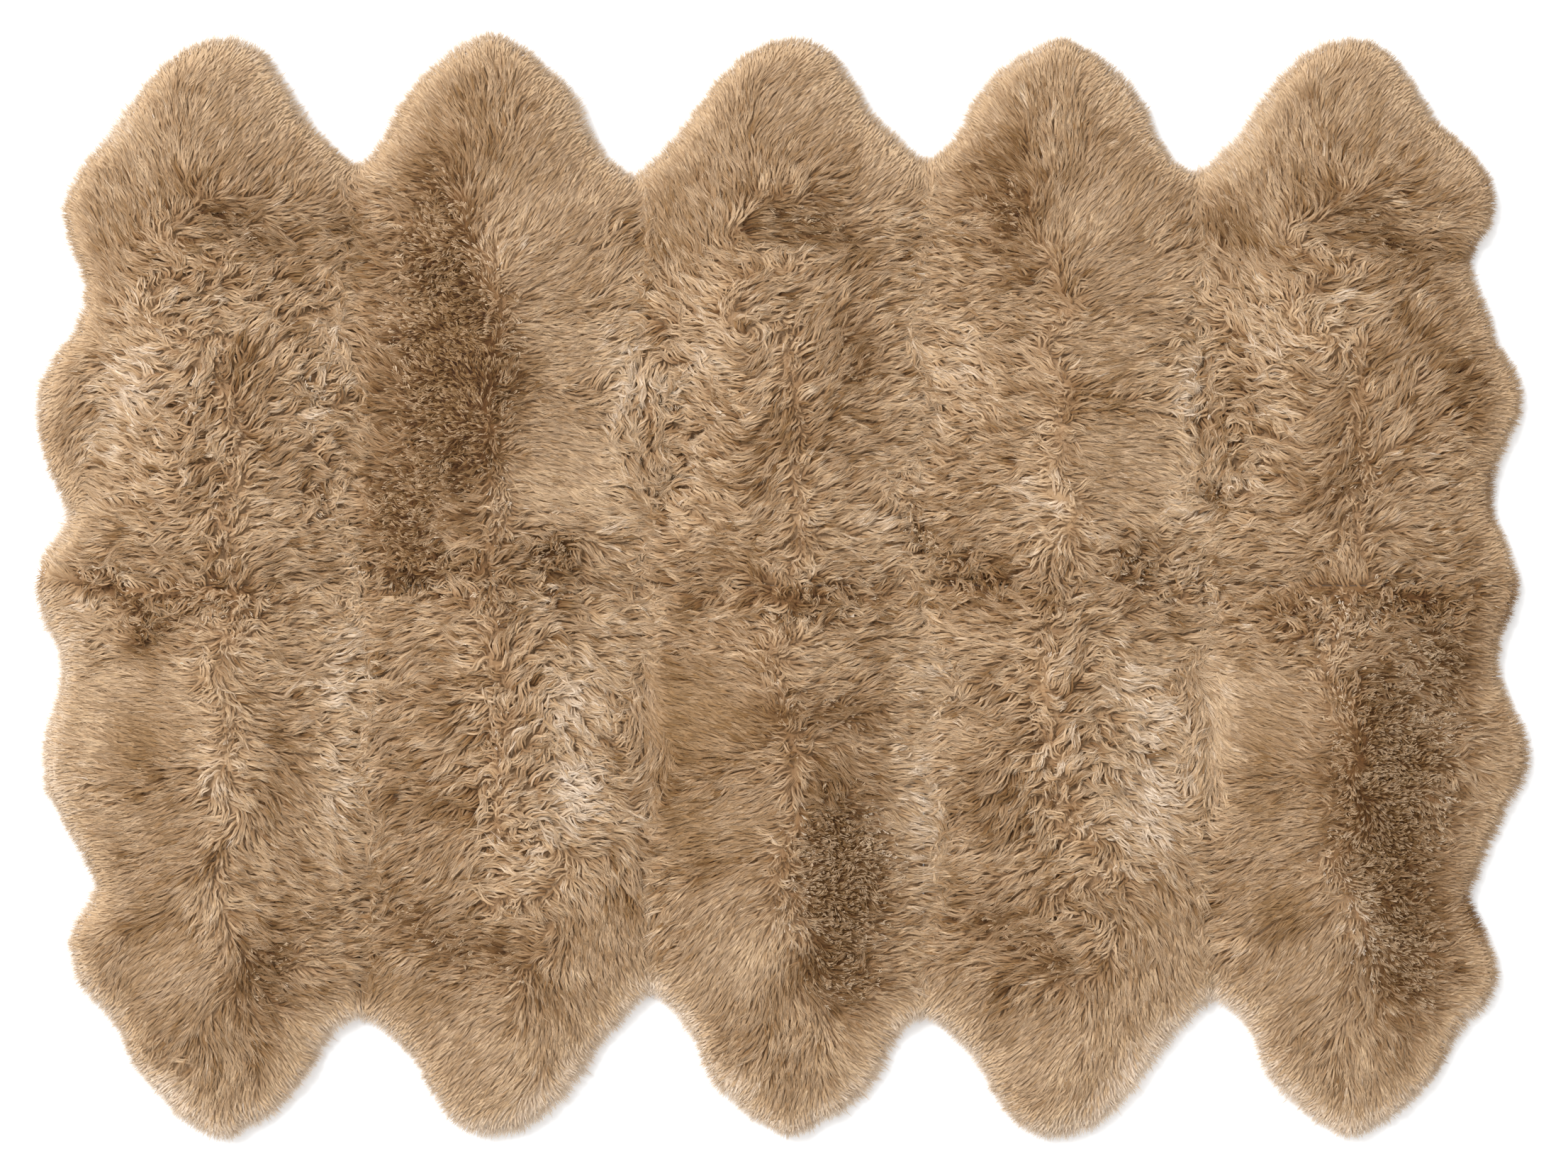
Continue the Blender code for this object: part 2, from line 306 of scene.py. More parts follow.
# How the smooth-crowned pelts were combed
SMOOTH_STROKES = (
    Stroke(-5, 43, 90, 45, 35, 0.8), Stroke(40, 140, 90, 80, 48, 1.0),
    Stroke(165, 205, 70, 70, 50, 1.0), Stroke(-115, 185, 55, 90, 98, 0.5),
    Stroke(-180, 300, 55, 110, 108, 0.5), Stroke(45, 315, 120, 35, -5), Stroke(-35, 440, 60, 30, 3),
    Stroke(150, 440, 60, 40, 22), Stroke(-120, 660, 50, 170, 155), Stroke(-30, 660, 30, 150, 235),
    Stroke(60, 530, 50, 90, 48), Stroke(160, 620, 60, 80, 10), Stroke(-245, 620, 40, 110, 240),
    Stroke(-130, 860, 130, 50, 180), Stroke(130, 860, 130, 50, 0),
)

# How the knobby-crowned pelts were combed
KNOBBY_STROKES = (
    Stroke(-125, 130, 60, 80, 130, 0.8), Stroke(-10, 120, 40, 100, 98, 0.4),
    Stroke(95, 140, 60, 70, 50, 0.6), Stroke(85, 280, 90, 80, 55, 1.0),
    Stroke(100, 405, 90, 40, 28, 0.8), Stroke(110, 520, 90, 60, 10, 0.7),
    Stroke(140, 690, 120, 80, -18, 0.9), Stroke(-150, 260, 70, 45, 165),
    Stroke(-110, 430, 110, 60, 178), Stroke(-130, 560, 100, 60, 158), Stroke(-110, 740, 110, 90, 182),
    Stroke(-110, 860, 120, 50, 190), Stroke(110, 860, 120, 50, -8),
)


class Kind(Enum):
    """The two ways in which the rug's pelts were combed."""

    SMOOTH = SMOOTH_STROKES
    KNOBBY = KNOBBY_STROKES


@dataclass(frozen=True)
class Lie:
    """Where a pelt's neck has its tip, in millimetres, and whether it points to the front."""

    kind: Kind
    x: float
    y: float

    def strokes(self) -> list[tuple[Oval, float, float]]:
        """Turn the pelt's strokes to where it lies.

        Returns:
            The strokes as ovals on the rug, each with its heading and its smoothing.
        """
        turned = -1 if self.y < 0 else 1
        found = []
        for s in self.kind.value:
            oval = Oval(self.x + turned * s.right, self.y - turned * s.below, s.reach_x, s.reach_y)
            found.append((oval, s.heading + (180 if turned < 0 else 0), s.smoothing))
        return found


LIES = (
    Lie(Kind.SMOOTH, -903, 893), Lie(Kind.KNOBBY, -467, 900), Lie(Kind.SMOOTH, 17, 895),
    Lie(Kind.KNOBBY, 446, 897), Lie(Kind.SMOOTH, 930, 895), Lie(Kind.KNOBBY, -895, -903),
    Lie(Kind.SMOOTH, -452, -893), Lie(Kind.KNOBBY, 17, -902), Lie(Kind.SMOOTH, 446, -895),
    Lie(Kind.KNOBBY, 930, -902),
)

# Where the wool lies in each state, over the loose and brushed wool of the rest
PATCHES = {
    State.STANDING: (
        Oval(-525, 350, 95, 200), Oval(-545, 560, 50, 110, strength=0.8),
        Oval(-600, 110, 55, 90, strength=0.8), Oval(378, 600, 48, 75, strength=0.6),
        Oval(95, -470, 80, 150), Oval(85, -630, 60, 50, strength=0.6), Oval(985, -330, 105, 220),
        Oval(1010, -600, 65, 90, strength=0.8), Oval(1070, -110, 60, 60, strength=0.8),
        Oval(-835, -620, 55, 60, strength=0.5), Oval(-880, 590, 90, 36, -25, strength=0.5),
        Oval(-690, 580, 60, 34, -20, strength=0.5), Oval(40, 590, 90, 36, -25, strength=0.5),
        Oval(735, 580, 50, 36, -30, strength=0.5), Oval(960, 580, 90, 36, -25, strength=0.5),
        Oval(-560, -545, 100, 34, -10, strength=0.5), Oval(-460, -605, 70, 30, -30, strength=0.5),
        Oval(350, -540, 50, 36, strength=0.5), Oval(440, -595, 70, 32, -30, strength=0.5),
        Oval(115, 370, 40, 70, strength=0.5), Oval(60, -210, 90, 34, -10, strength=0.5),
        Oval(920, 180, 50, 60, strength=0.4),
    ),
    State.CRIMPED: (
        Oval(-962, 300, 90, 200), Oval(-749, 300, 60, 190), Oval(-170, 290, 110, 190),
        Oval(310, 330, 60, 110, strength=0.6), Oval(719, 290, 110, 190),
        Oval(830, 430, 90, 60, strength=0.8), Oval(-400, -260, 110, 180), Oval(480, -260, 110, 180),
        Oval(-700, -250, 60, 140, strength=0.5), Oval(-900, 450, 130, 40, strength=0.7),
    ),
    State.TUFTED: (
        Oval(-950, 311, 24, 20), Oval(-761, 311, 24, 20), Oval(-194, 314, 24, 20), Oval(690, 295, 24, 20),
        Oval(-945, 154, 26, 26), Oval(-765, 146, 26, 26), Oval(-189, 151, 26, 26), Oval(690, 130, 26, 26),
        Oval(-1090, 10, 60, 36), Oval(-1020, -60, 50, 34), Oval(-920, -15, 90, 34, strength=0.8),
        Oval(-560, 30, 110, 30), Oval(-365, 60, 50, 45), Oval(-400, -20, 120, 26, strength=0.7),
        Oval(60, -20, 130, 30, strength=0.8), Oval(225, 90, 34, 50), Oval(325, 22, 70, 34),
        Oval(575, 50, 50, 45), Oval(650, -10, 100, 30, strength=0.7),
        Oval(840, -50, 60, 34, strength=0.8), Oval(1000, -30, 120, 34),
        Oval(-1003, -741, 20, 16, strength=0.7), Oval(-958, -762, 20, 16, strength=0.7),
        Oval(-92, -738, 20, 16, strength=0.7), Oval(-42, -758, 20, 16, strength=0.7),
        Oval(823, -738, 20, 16, strength=0.7),
    ),
}

# Changes of the wool's tone, mostly its own colour; the dark ones in the notches of the right rim are painted
# shade
TINTS = (
    # The back row's first pelt
    Tint(-12, -890, 580, 60, 35, -25), Tint(-7, -815, 550, 50, 42, -45), Tint(-7, -950, 640, 55, 28, -30),
    Tint(-10, -860, 355, 30, 42), Tint(-6, -840, 210, 26, 48), Tint(-9, -940, 165, 22, 36),
    Tint(-9, -755, 160, 22, 36), Tint(14, -1052, 330, 40, 110, -14), Tint(12, -1070, 190, 48, 60),
    Tint(6, -970, 450, 80, 30), Tint(5, -745, 420, 30, 40), Tint(-10, -1155, 240, 26, 40),
    Tint(9, -955, 350, 60, 70), Tint(8, -968, 118, 40, 50), Tint(8, -875, 103, 50, 36),
    Tint(5, -900, 260, 40, 50), Tint(-5, -850, 340, 30, 50), Tint(-11, -1095, 525, 34, 60),
    Tint(8, -1020, 300, 50, 80), Tint(5, -885, 40, 40, 50), Tint(5, -760, 320, 34, 50),
    Tint(4, -890, 410, 60, 40), Tint(-5, -1020, 80, 80, 34), Tint(-5, -780, 660, 50, 60),
    # The back row's second pelt
    Tint(-31, -520, 350, 84, 185), Tint(-20, -545, 540, 48, 85, 10), Tint(-13, -545, 650, 52, 55),
    Tint(-27, -604, 120, 46, 85), Tint(-12, -500, 180, 38, 60), Tint(-15, -590, 38, 65, 36),
    Tint(6, -620, -6, 44, 24), Tint(-9, -480, 25, 60, 25), Tint(-20, -365, 58, 42, 40),
    Tint(-7, -650, 330, 40, 140), Tint(-11, -680, 575, 60, 32, -20), Tint(7, -430, 555, 42, 34),
    Tint(4, -350, 610, 40, 25), Tint(-10, -630, 528, 60, 60), Tint(-5, -540, 740, 70, 80),
    Tint(-5, -610, 270, 50, 110), Tint(6, -470, 530, 70, 60), Tint(6, -430, 460, 30, 60),
    Tint(6, -650, 430, 36, 36), Tint(-4, -500, 150, 36, 60), Tint(8, -430, 170, 34, 40),
    Tint(-5, -460, 320, 40, 60), Tint(-7, -514, 350, 50, 110), Tint(-6, -650, -640, 90, 34),
    Tint(5, -890, -230, 34, 80), Tint(-5, -430, 700, 90, 60), Tint(-11, -360, 475, 36, 60),
    # The back row's third pelt
    Tint(-15, 20, 590, 62, 34, -25), Tint(-11, 108, 560, 32, 55, 20), Tint(-6, 100, 670, 20, 45),
    Tint(-14, 115, 370, 34, 65), Tint(-11, 15, 250, 42, 34), Tint(-14, 85, 220, 36, 45),
    Tint(6, 152, 430, 36, 50), Tint(14, -268, 345, 44, 85), Tint(13, -118, 370, 36, 62),
    Tint(6, -282, 180, 32, 65), Tint(-6, -350, 250, 40, 50), Tint(6, -130, 180, 26, 60),
    Tint(-16, -176, 170, 24, 40), Tint(9, 145, 85, 52, 40), Tint(7, 185, 15, 40, 50),
    Tint(-6, -190, 570, 90, 60), Tint(4, -300, 100, 50, 60), Tint(4, 70, 90, 80, 60),
    Tint(11, -216, 345, 50, 60), Tint(5, -270, 470, 36, 40), Tint(6, -110, 400, 60, 60),
    Tint(10, -132, 110, 55, 40), Tint(7, 124, 596, 60, 34), Tint(-12, 96, 520, 36, 36),
    # The back row's fourth pelt
    Tint(-22, 380, 600, 42, 72), Tint(-7, 400, 690, 52, 40), Tint(-7, 425, 480, 30, 34),
    Tint(-10, 512, 335, 42, 60), Tint(13, 303, 345, 42, 75), Tint(-5, 372, 370, 34, 36),
    Tint(-6, 395, 790, 50, 50), Tint(7, 515, 790, 40, 40), Tint(14, 425, 150, 42, 52),
    Tint(12, 476, 554, 40, 28), Tint(-9, 228, 88, 26, 42), Tint(-23, 322, 28, 48, 32, -20),
    Tint(-13, 575, 52, 38, 38), Tint(-9, 328, 680, 60, 70), Tint(-4, 240, 510, 60, 60),
    Tint(-4, 530, 680, 50, 60), Tint(9, 472, 85, 60, 50), Tint(-9, 256, 90, 50, 50),
    Tint(-10, 505, 650, 60, 50), Tint(-4, 530, 430, 40, 60),
    # The back row's fifth pelt
    Tint(-13, 738, 573, 42, 34, -30), Tint(-14, 935, 592, 65, 32, -25), Tint(-6, 952, 530, 36, 44),
    # Tint(-17, 1104, 540): painted shade in a notch of the right rim
    Tint(-5, 870, 655, 60, 40), Tint(-16, 1030, 545, 50, 28), Tint(-17, 1104, 540, 40, 22),
    Tint(-8, 1020, 650, 22, 52), Tint(-15, 1095, 310, 26, 85, 22), Tint(-7, 1030, 370, 42, 42),
    Tint(6, 1085, 400, 34, 34), Tint(-8, 970, 355, 32, 32), Tint(-12, 915, 180, 36, 38),
    # Tint(-22, 1152, 145): painted shade in a notch of the right rim
    Tint(-22, 1152, 145, 24, 46), Tint(11, 640, 330, 34, 55), Tint(12, 808, 395, 38, 45),
    Tint(8, 620, 190, 28, 60), Tint(-14, 695, 146, 25, 44), Tint(5, 850, 460, 60, 30),
    Tint(5, 660, 400, 60, 100), Tint(11, 895, 412, 50, 60), Tint(5, 620, 100, 50, 60),
    Tint(4, 760, 190, 50, 60), Tint(9, 1052, 120, 60, 50), Tint(-11, 712, 548, 50, 50),
    Tint(-5, 1010, 510, 40, 40), Tint(-5, 860, 120, 30, 80), Tint(-4, 1110, 320, 50, 60),
    Tint(10, 645, 310, 60, 50), Tint(5, 830, 400, 90, 60), Tint(12, 640, 75, 60, 50),
    Tint(7, 765, 70, 50, 40),
    # Along the seam between the rows
    Tint(-4, 0, 10, 1200, 50), Tint(-22, -1005, -88, 50, 38), Tint(12, -1130, -5, 60, 50),
    Tint(6, -530, 20, 150, 26), Tint(7, 970, 0, 100, 26), Tint(-6, 950, -50, 40, 34),
    Tint(-10, 305, -35, 90, 40), Tint(-7, -930, -20, 65, 22), Tint(8, -980, 6, 50, 24),
    Tint(-8, -1085, 25, 45, 30), Tint(-10, 45, -28, 60, 22), Tint(-7, 125, -14, 45, 18),
    Tint(8, 185, -80, 70, 36), Tint(-6, -42, -110, 40, 34), Tint(7, 560, -310, 60, 40),
    Tint(6, -700, 300, 60, 34), Tint(-11, -126, -32, 26, 34), Tint(8, -215, -35, 48, 36),
    Tint(-12, 835, -50, 38, 36), Tint(-7, 910, -18, 60, 22),
    # The front row's first pelt
    Tint(14, -715, -150, 38, 62), Tint(8, -728, -330, 24, 70), Tint(10, -905, -310, 22, 62),
    Tint(4, -1000, -140, 160, 50), Tint(-14, -818, -285, 34, 80), Tint(-18, -840, -615, 48, 60),
    Tint(-11, -998, -535, 40, 50), Tint(-4, -1000, -450, 50, 70), Tint(6, -890, -575, 34, 34),
    Tint(8, -970, -805, 40, 30), Tint(-4, -1000, -240, 50, 150), Tint(5, -720, -200, 40, 110),
    Tint(9, -1130, -300, 50, 80), Tint(10, -1110, -85, 60, 40), Tint(-9, -1000, -220, 50, 120),
    Tint(9, -755, -55, 70, 60), Tint(8, -735, -330, 44, 110), Tint(-8, -610, -660, 90, 40),
    # The front row's second pelt
    Tint(16, -345, -155, 50, 65), Tint(18, -342, -345, 46, 60, 15), Tint(7, -400, -430, 60, 55),
    Tint(-12, -585, -335, 60, 48, -20), Tint(-14, -508, -345, 32, 36), Tint(-9, -522, -190, 40, 45),
    Tint(-4, -430, -170, 22, 38), Tint(5, -465, -190, 30, 40), Tint(-7, -640, -465, 60, 50),
    Tint(-14, -575, -545, 90, 30, -10), Tint(-13, -475, -600, 72, 30, -30), Tint(-15, -658, -600, 36, 50),
    Tint(-7, -560, -650, 26, 42), Tint(9, -335, -250, 70, 110), Tint(9, -358, -478, 60, 50),
    Tint(7, -250, -620, 70, 30), Tint(-5, -610, -320, 60, 80), Tint(-4, -560, -150, 40, 60),
    Tint(-8, -442, -600, 60, 40), Tint(6, -390, -770, 90, 60), Tint(-7, -500, -770, 40, 50),
    Tint(9, -396, -342, 50, 40), Tint(-5, -540, -200, 40, 80), Tint(-5, -560, -380, 50, 50),
    # The front row's third pelt
    Tint(-11, -175, -335, 32, 55), Tint(-10, -138, -205, 60, 80), Tint(-9, -110, -440, 65, 55),
    Tint(-11, 40, -212, 110, 28), Tint(-8, 130, -150, 32, 60), Tint(-23, 78, -350, 42, 62),
    Tint(-27, 95, -480, 66, 100), Tint(-17, 85, -635, 62, 50), Tint(5, -180, -560, 45, 42),
    Tint(-6, -150, -300, 60, 130), Tint(-9, -35, -250, 50, 50), Tint(5, 0, -560, 60, 40),
    Tint(4, -20, -330, 40, 50), Tint(5, 10, -550, 60, 30), Tint(-5, -95, -660, 34, 60),
    Tint(10, -50, -795, 36, 34), Tint(-5, -120, -370, 50, 60),
    # The front row's fourth pelt
    Tint(12, 230, -130, 34, 52), Tint(9, 262, -220, 26, 55), Tint(16, 230, -320, 38, 65),
    Tint(13, 590, -200, 46, 90), Tint(17, 588, -355, 52, 60), Tint(-11, 352, -350, 48, 60),
    Tint(6, 455, -280, 50, 50), Tint(5, 340, -105, 40, 34), Tint(-15, 376, -204, 40, 56),
    Tint(-11, 486, -172, 22, 38), Tint(-13, 352, -540, 42, 40), Tint(-15, 445, -598, 72, 34, -30),
    Tint(-7, 370, -660, 26, 55), Tint(13, 205, -420, 36, 130), Tint(9, 560, -330, 90, 140),
    Tint(12, 428, -155, 70, 80), Tint(11, 545, -160, 60, 60), Tint(-5, 380, -340, 40, 60),
    Tint(-4, 450, -600, 60, 40), Tint(6, 500, -780, 100, 60), Tint(4, 530, -440, 70, 50),
    Tint(6, 705, -560, 40, 50), Tint(8, 600, -780, 90, 60),
    # The front row's fifth pelt
    Tint(11, 725, -210, 32, 115), Tint(-21, 980, -340, 88, 185), Tint(-22, 1078, -120, 52, 52),
    Tint(-19, 1055, -30, 62, 32), Tint(-18, 960, -165, 42, 55), Tint(-18, 1010, -530, 58, 95),
    Tint(-15, 1010, -645, 62, 50), Tint(-13, 830, -528, 48, 36), Tint(-9, 802, -320, 32, 90),
    # Tint(-8, 1115, -520): painted shade in a notch of the right rim
    Tint(-8, 1115, -520, 32, 18), Tint(-7, 740, -470, 32, 22), Tint(-5, 815, -190, 50, 90),
    Tint(-10, 836, -490, 50, 40), Tint(5, 700, -300, 50, 90), Tint(5, 985, -170, 50, 50),
    Tint(-7, 1020, -265, 50, 60), Tint(-8, 958, -445, 34, 40), Tint(-5, 980, -735, 50, 40),
    # The next three: painted shade along the right rim and in its notches
    Tint(-34, 1186, -90, 20, 80), Tint(-14, 1150, -212, 16, 26), Tint(-40, 1124, -525, 20, 44),
    Tint(6, 1050, -385, 50, 80), Tint(13, 942, -520, 50, 70), Tint(6, 880, -440, 36, 40),
    Tint(-7, 830, -500, 40, 40), Tint(-7, 850, -670, 50, 50), Tint(7, 1122, -320, 34, 100),
)

PARTINGS = (
    Parting(-1196, 18, -1089, -2, 9, 0.6), Parting(-1089, -2, -1030, -40, 9, 0.6),
    Parting(-1030, -10, -860, -14, 12, 0.4), Parting(-609, 23, -484, 20, 12, 0.4),
    Parting(-34, -2, 49, -35, 12, 0.4), Parting(880, 0, 1035, -18, 12, 0.4),
)


@dataclass(frozen=True)
class Shade:
    """The colour of wool of one tone, as light as it is halfway along a lock."""

    tone: float
    colour: Colour


SHADES = (
    Shade(0.00, (0.090, 0.037, 0.007)), Shade(0.22, (0.200, 0.108, 0.041)),
    Shade(0.47, (0.376, 0.246, 0.142)), Shade(0.60, (0.472, 0.332, 0.207)),
    Shade(0.88, (0.698, 0.574, 0.452)), Shade(1.00, (0.830, 0.700, 0.560)),
)


class Nodes:
    """A new material and its nodes, with short ways to add and join them."""

    def __init__(self, name: str) -> None:
        """Start a material.

        Args:
            name: Its name.
        """
        self.material = bpy.data.materials.new(name)
        self.material.use_nodes = True
        self.tree = self.material.node_tree

    def feed(self, node: bpy.types.Node, inputs: dict) -> None:
        """Fill a node's inputs.

        Args:
            node: The node.
            inputs: For each input, its value or the socket that it is joined to.
        """
        for name, value in inputs.items():
            if isinstance(value, Socket):
                self.tree.links.new(value, node.inputs[name])
            else:
                node.inputs[name].default_value = value

    def add(self, kind: str, inputs: dict, **options: object) -> bpy.types.Node:
        """Add a node.

        Args:
            kind: Its type.
            inputs: For each input, its value or the socket that it is joined to.
            options: The node's own settings, which are made before its inputs are filled.

        Returns:
            The node.
        """
        node = self.tree.nodes.new(f"ShaderNode{kind}")
        for name, option in options.items():
            setattr(node, name, option)
        self.feed(node, inputs)
        return node

    def spread(self, value: Socket, before: tuple[float, float], after: tuple[float, float]) -> Socket:
        """Carry a value over from one range to another.

        Args:
            value: The value's socket.
            before: The range that the value is taken from.
            after: The range that it is carried to.

        Returns:
            The socket of the new value.
        """
        ranges = {"From Min": before[0], "From Max": before[1], "To Min": after[0], "To Max": after[1]}
        return self.add("MapRange", {"Value": value, **ranges}).outputs["Result"]

    def mixed(self, share: Socket, low: Colour, high: Colour) -> Socket:
        """A colour between two others, by a share from 0 to 1."""
        inputs = {"Factor": share, "A": (*low, 1.0), "B": (*high, 1.0)}
        return self.add("Mix", inputs, data_type="RGBA").outputs["Result"]

    def done(self, colour: Socket, relief: Socket, strength: float, inputs: dict) -> bpy.types.Material:
        """Give the shader its colour, its bump and its other inputs.

        Args:
            colour: The colour's socket.
            relief: The socket of the bump's height.
            strength: The bump's strength.
            inputs: The shader's other inputs.

        Returns:
            The finished material.
        """
        bump = self.add("Bump", {"Strength": strength, "Distance": NAP, "Height": relief})
        shader = self.tree.nodes["Principled BSDF"]
        self.feed(shader, {"Base Color": colour, "Normal": bump.outputs["Normal"], **inputs})
        return self.material


@dataclass(frozen=True)
class WoolFinish:
    """The wool: dark and warm at the roots, pale at the tips, with fine fibres along each lock.

    The colours follow the locks' own map. Its first axis is the tone, with a narrow strip
    of it for each lock, and its second runs from root to tip. The darkening towards the root
    is partly the wool's own colour and partly painted shade down in the pile.
    """

    root_depth: float = 1.55
    tip_depth: float = 0.96
    fibres: tuple[float, float] = (400.0, 2.2)
    dark_fibre: Colour = (0.80, 0.74, 0.64)
    pale_fibre: Colour = (1.64, 1.68, 1.71)
    hues: tuple[float, float] = (45.0, 0.5)
    cool_lock: Colour = (0.965, 1.00, 1.085)
    warm_lock: Colour = (1.030, 1.00, 0.945)
    relief: float = 0.30
    roughness: float = 0.75
    gloss: float = 0.25
    sheen: float = 0.12
    sheen_roughness: float = 0.45

    @staticmethod
    def noise(nodes: Nodes, place: Socket, scale: tuple[float, float]) -> Socket:
        """A noise over the locks' map.

        Args:
            nodes: The material's nodes.
            place: The socket of the place on the map.
            scale: How fine the noise is across the tones and along the locks.

        Returns:
            The noise's socket.
        """
        stretch = nodes.add("Mapping", {"Scale": (*scale, 1.0), "Vector": place})
        inputs = {"Scale": 1.0, "Detail": 2.0, "Vector": stretch.outputs["Vector"]}
        return nodes.add("TexNoise", inputs, noise_dimensions="2D").outputs["Fac"]

    @staticmethod
    def tinted(nodes: Nodes, colour: Socket, noise: Socket, low: Colour, high: Colour) -> Socket:
        """Tint a colour by a noise.

        Args:
            nodes: The material's nodes.
            colour: The colour's socket.
            noise: The noise's socket.
            low: What the colour is multiplied by where the noise is low.
            high: What it is multiplied by where the noise is high.

        Returns:
            The socket of the tinted colour.
        """
        tint = nodes.mixed(nodes.spread(noise, (0.25, 0.75), (0.0, 1.0)), low, high)
        return nodes.add("VectorMath", {0: colour, 1: tint}, operation="MULTIPLY").outputs["Vector"]

    def make(self) -> bpy.types.Material:
        """Make the finish.

        Returns:
            The material.
        """
        nodes = Nodes("wool_locks")
        place = nodes.add("UVMap", {}, uv_map=UV_NAME).outputs["UV"]
        split = nodes.add("SeparateXYZ", {0: place})
        tones = nodes.add("ValToRGB", {"Fac": split.outputs["X"]})
        stops = tones.color_ramp.elements
        while len(stops) < len(SHADES):
            stops.new(0.5)
        for stop, shade in zip(stops, SHADES):
            stop.position = shade.tone
        for stop, shade in zip(stops, SHADES):
            stop.color = (*shade.colour, 1.0)
        # Darker towards the roots: partly the wool's own colour, partly painted shade down in the pile
        along = nodes.spread(split.outputs["Y"], (0.05, 0.80), (self.root_depth, self.tip_depth))
        depth = nodes.add("Gamma", {"Color": tones.outputs["Color"], "Gamma": along})
        fibre = self.noise(nodes, place, self.fibres)
        hue = self.noise(nodes, place, self.hues)
        colour = self.tinted(nodes, depth.outputs["Color"], fibre, self.dark_fibre, self.pale_fibre)
        colour = self.tinted(nodes, colour, hue, self.cool_lock, self.warm_lock)
        soft = {
            "Roughness": self.roughness, "Specular IOR Level": self.gloss,
            "Sheen Weight": self.sheen, "Sheen Roughness": self.sheen_roughness,
        }
        return nodes.done(colour, fibre, self.relief, soft)


@dataclass(frozen=True)
class SuedeFinish:
    """The skin side: pale tan suede, mottled, with a fine nap."""

    pale: Colour = (0.62, 0.49, 0.35)
    dark: Colour = (0.46, 0.34, 0.22)
    relief: float = 0.25
    roughness: float = 0.9
    sheen: float = 0.2

    def make(self) -> bpy.types.Material:
        """Make the finish.

        Returns:
            The material.
        """
        nodes = Nodes("skin_side")
        place = nodes.add("TexCoord", {}).outputs["Object"]
        clouds = nodes.add("TexNoise", {"Scale": 9.0, "Detail": 6.0, "Vector": place})
        nap = nodes.add("TexNoise", {"Scale": 900.0, "Detail": 3.0, "Vector": place})
        colour = nodes.mixed(clouds.outputs["Fac"], self.dark, self.pale)
        soft = {"Roughness": self.roughness, "Sheen Weight": self.sheen}
        return nodes.done(colour, nap.outputs["Fac"], self.relief, soft)


class Ripple:
    """A smooth random height over the rug, with a mean of 0 and a reach of about 1."""

    KNOTS = 97
    START = 41.37

    def __init__(self, spacing: float, seed: int) -> None:
        """Set out the ripple.

        Args:
            spacing: The distance between its knots, in metres.
            seed: The seed of its heights.
        """
        self.spacing = spacing
        self.knots = np.random.default_rng(seed).uniform(-1.0, 1.0, (self.KNOTS, self.KNOTS))

    def at(self, places: Array) -> Array:
        """The ripple's height.

        Args:
            places: Places on the rug, in metres, one per row.

        Returns:
            The height at each place.
        """
        grid = places / self.spacing + self.START
        low = np.floor(grid).astype(int)
        part = grid - low
        low %= self.KNOTS
        return between(self.knots, low, (low + 1) % self.KNOTS, part * part * (3.0 - 2.0 * part))


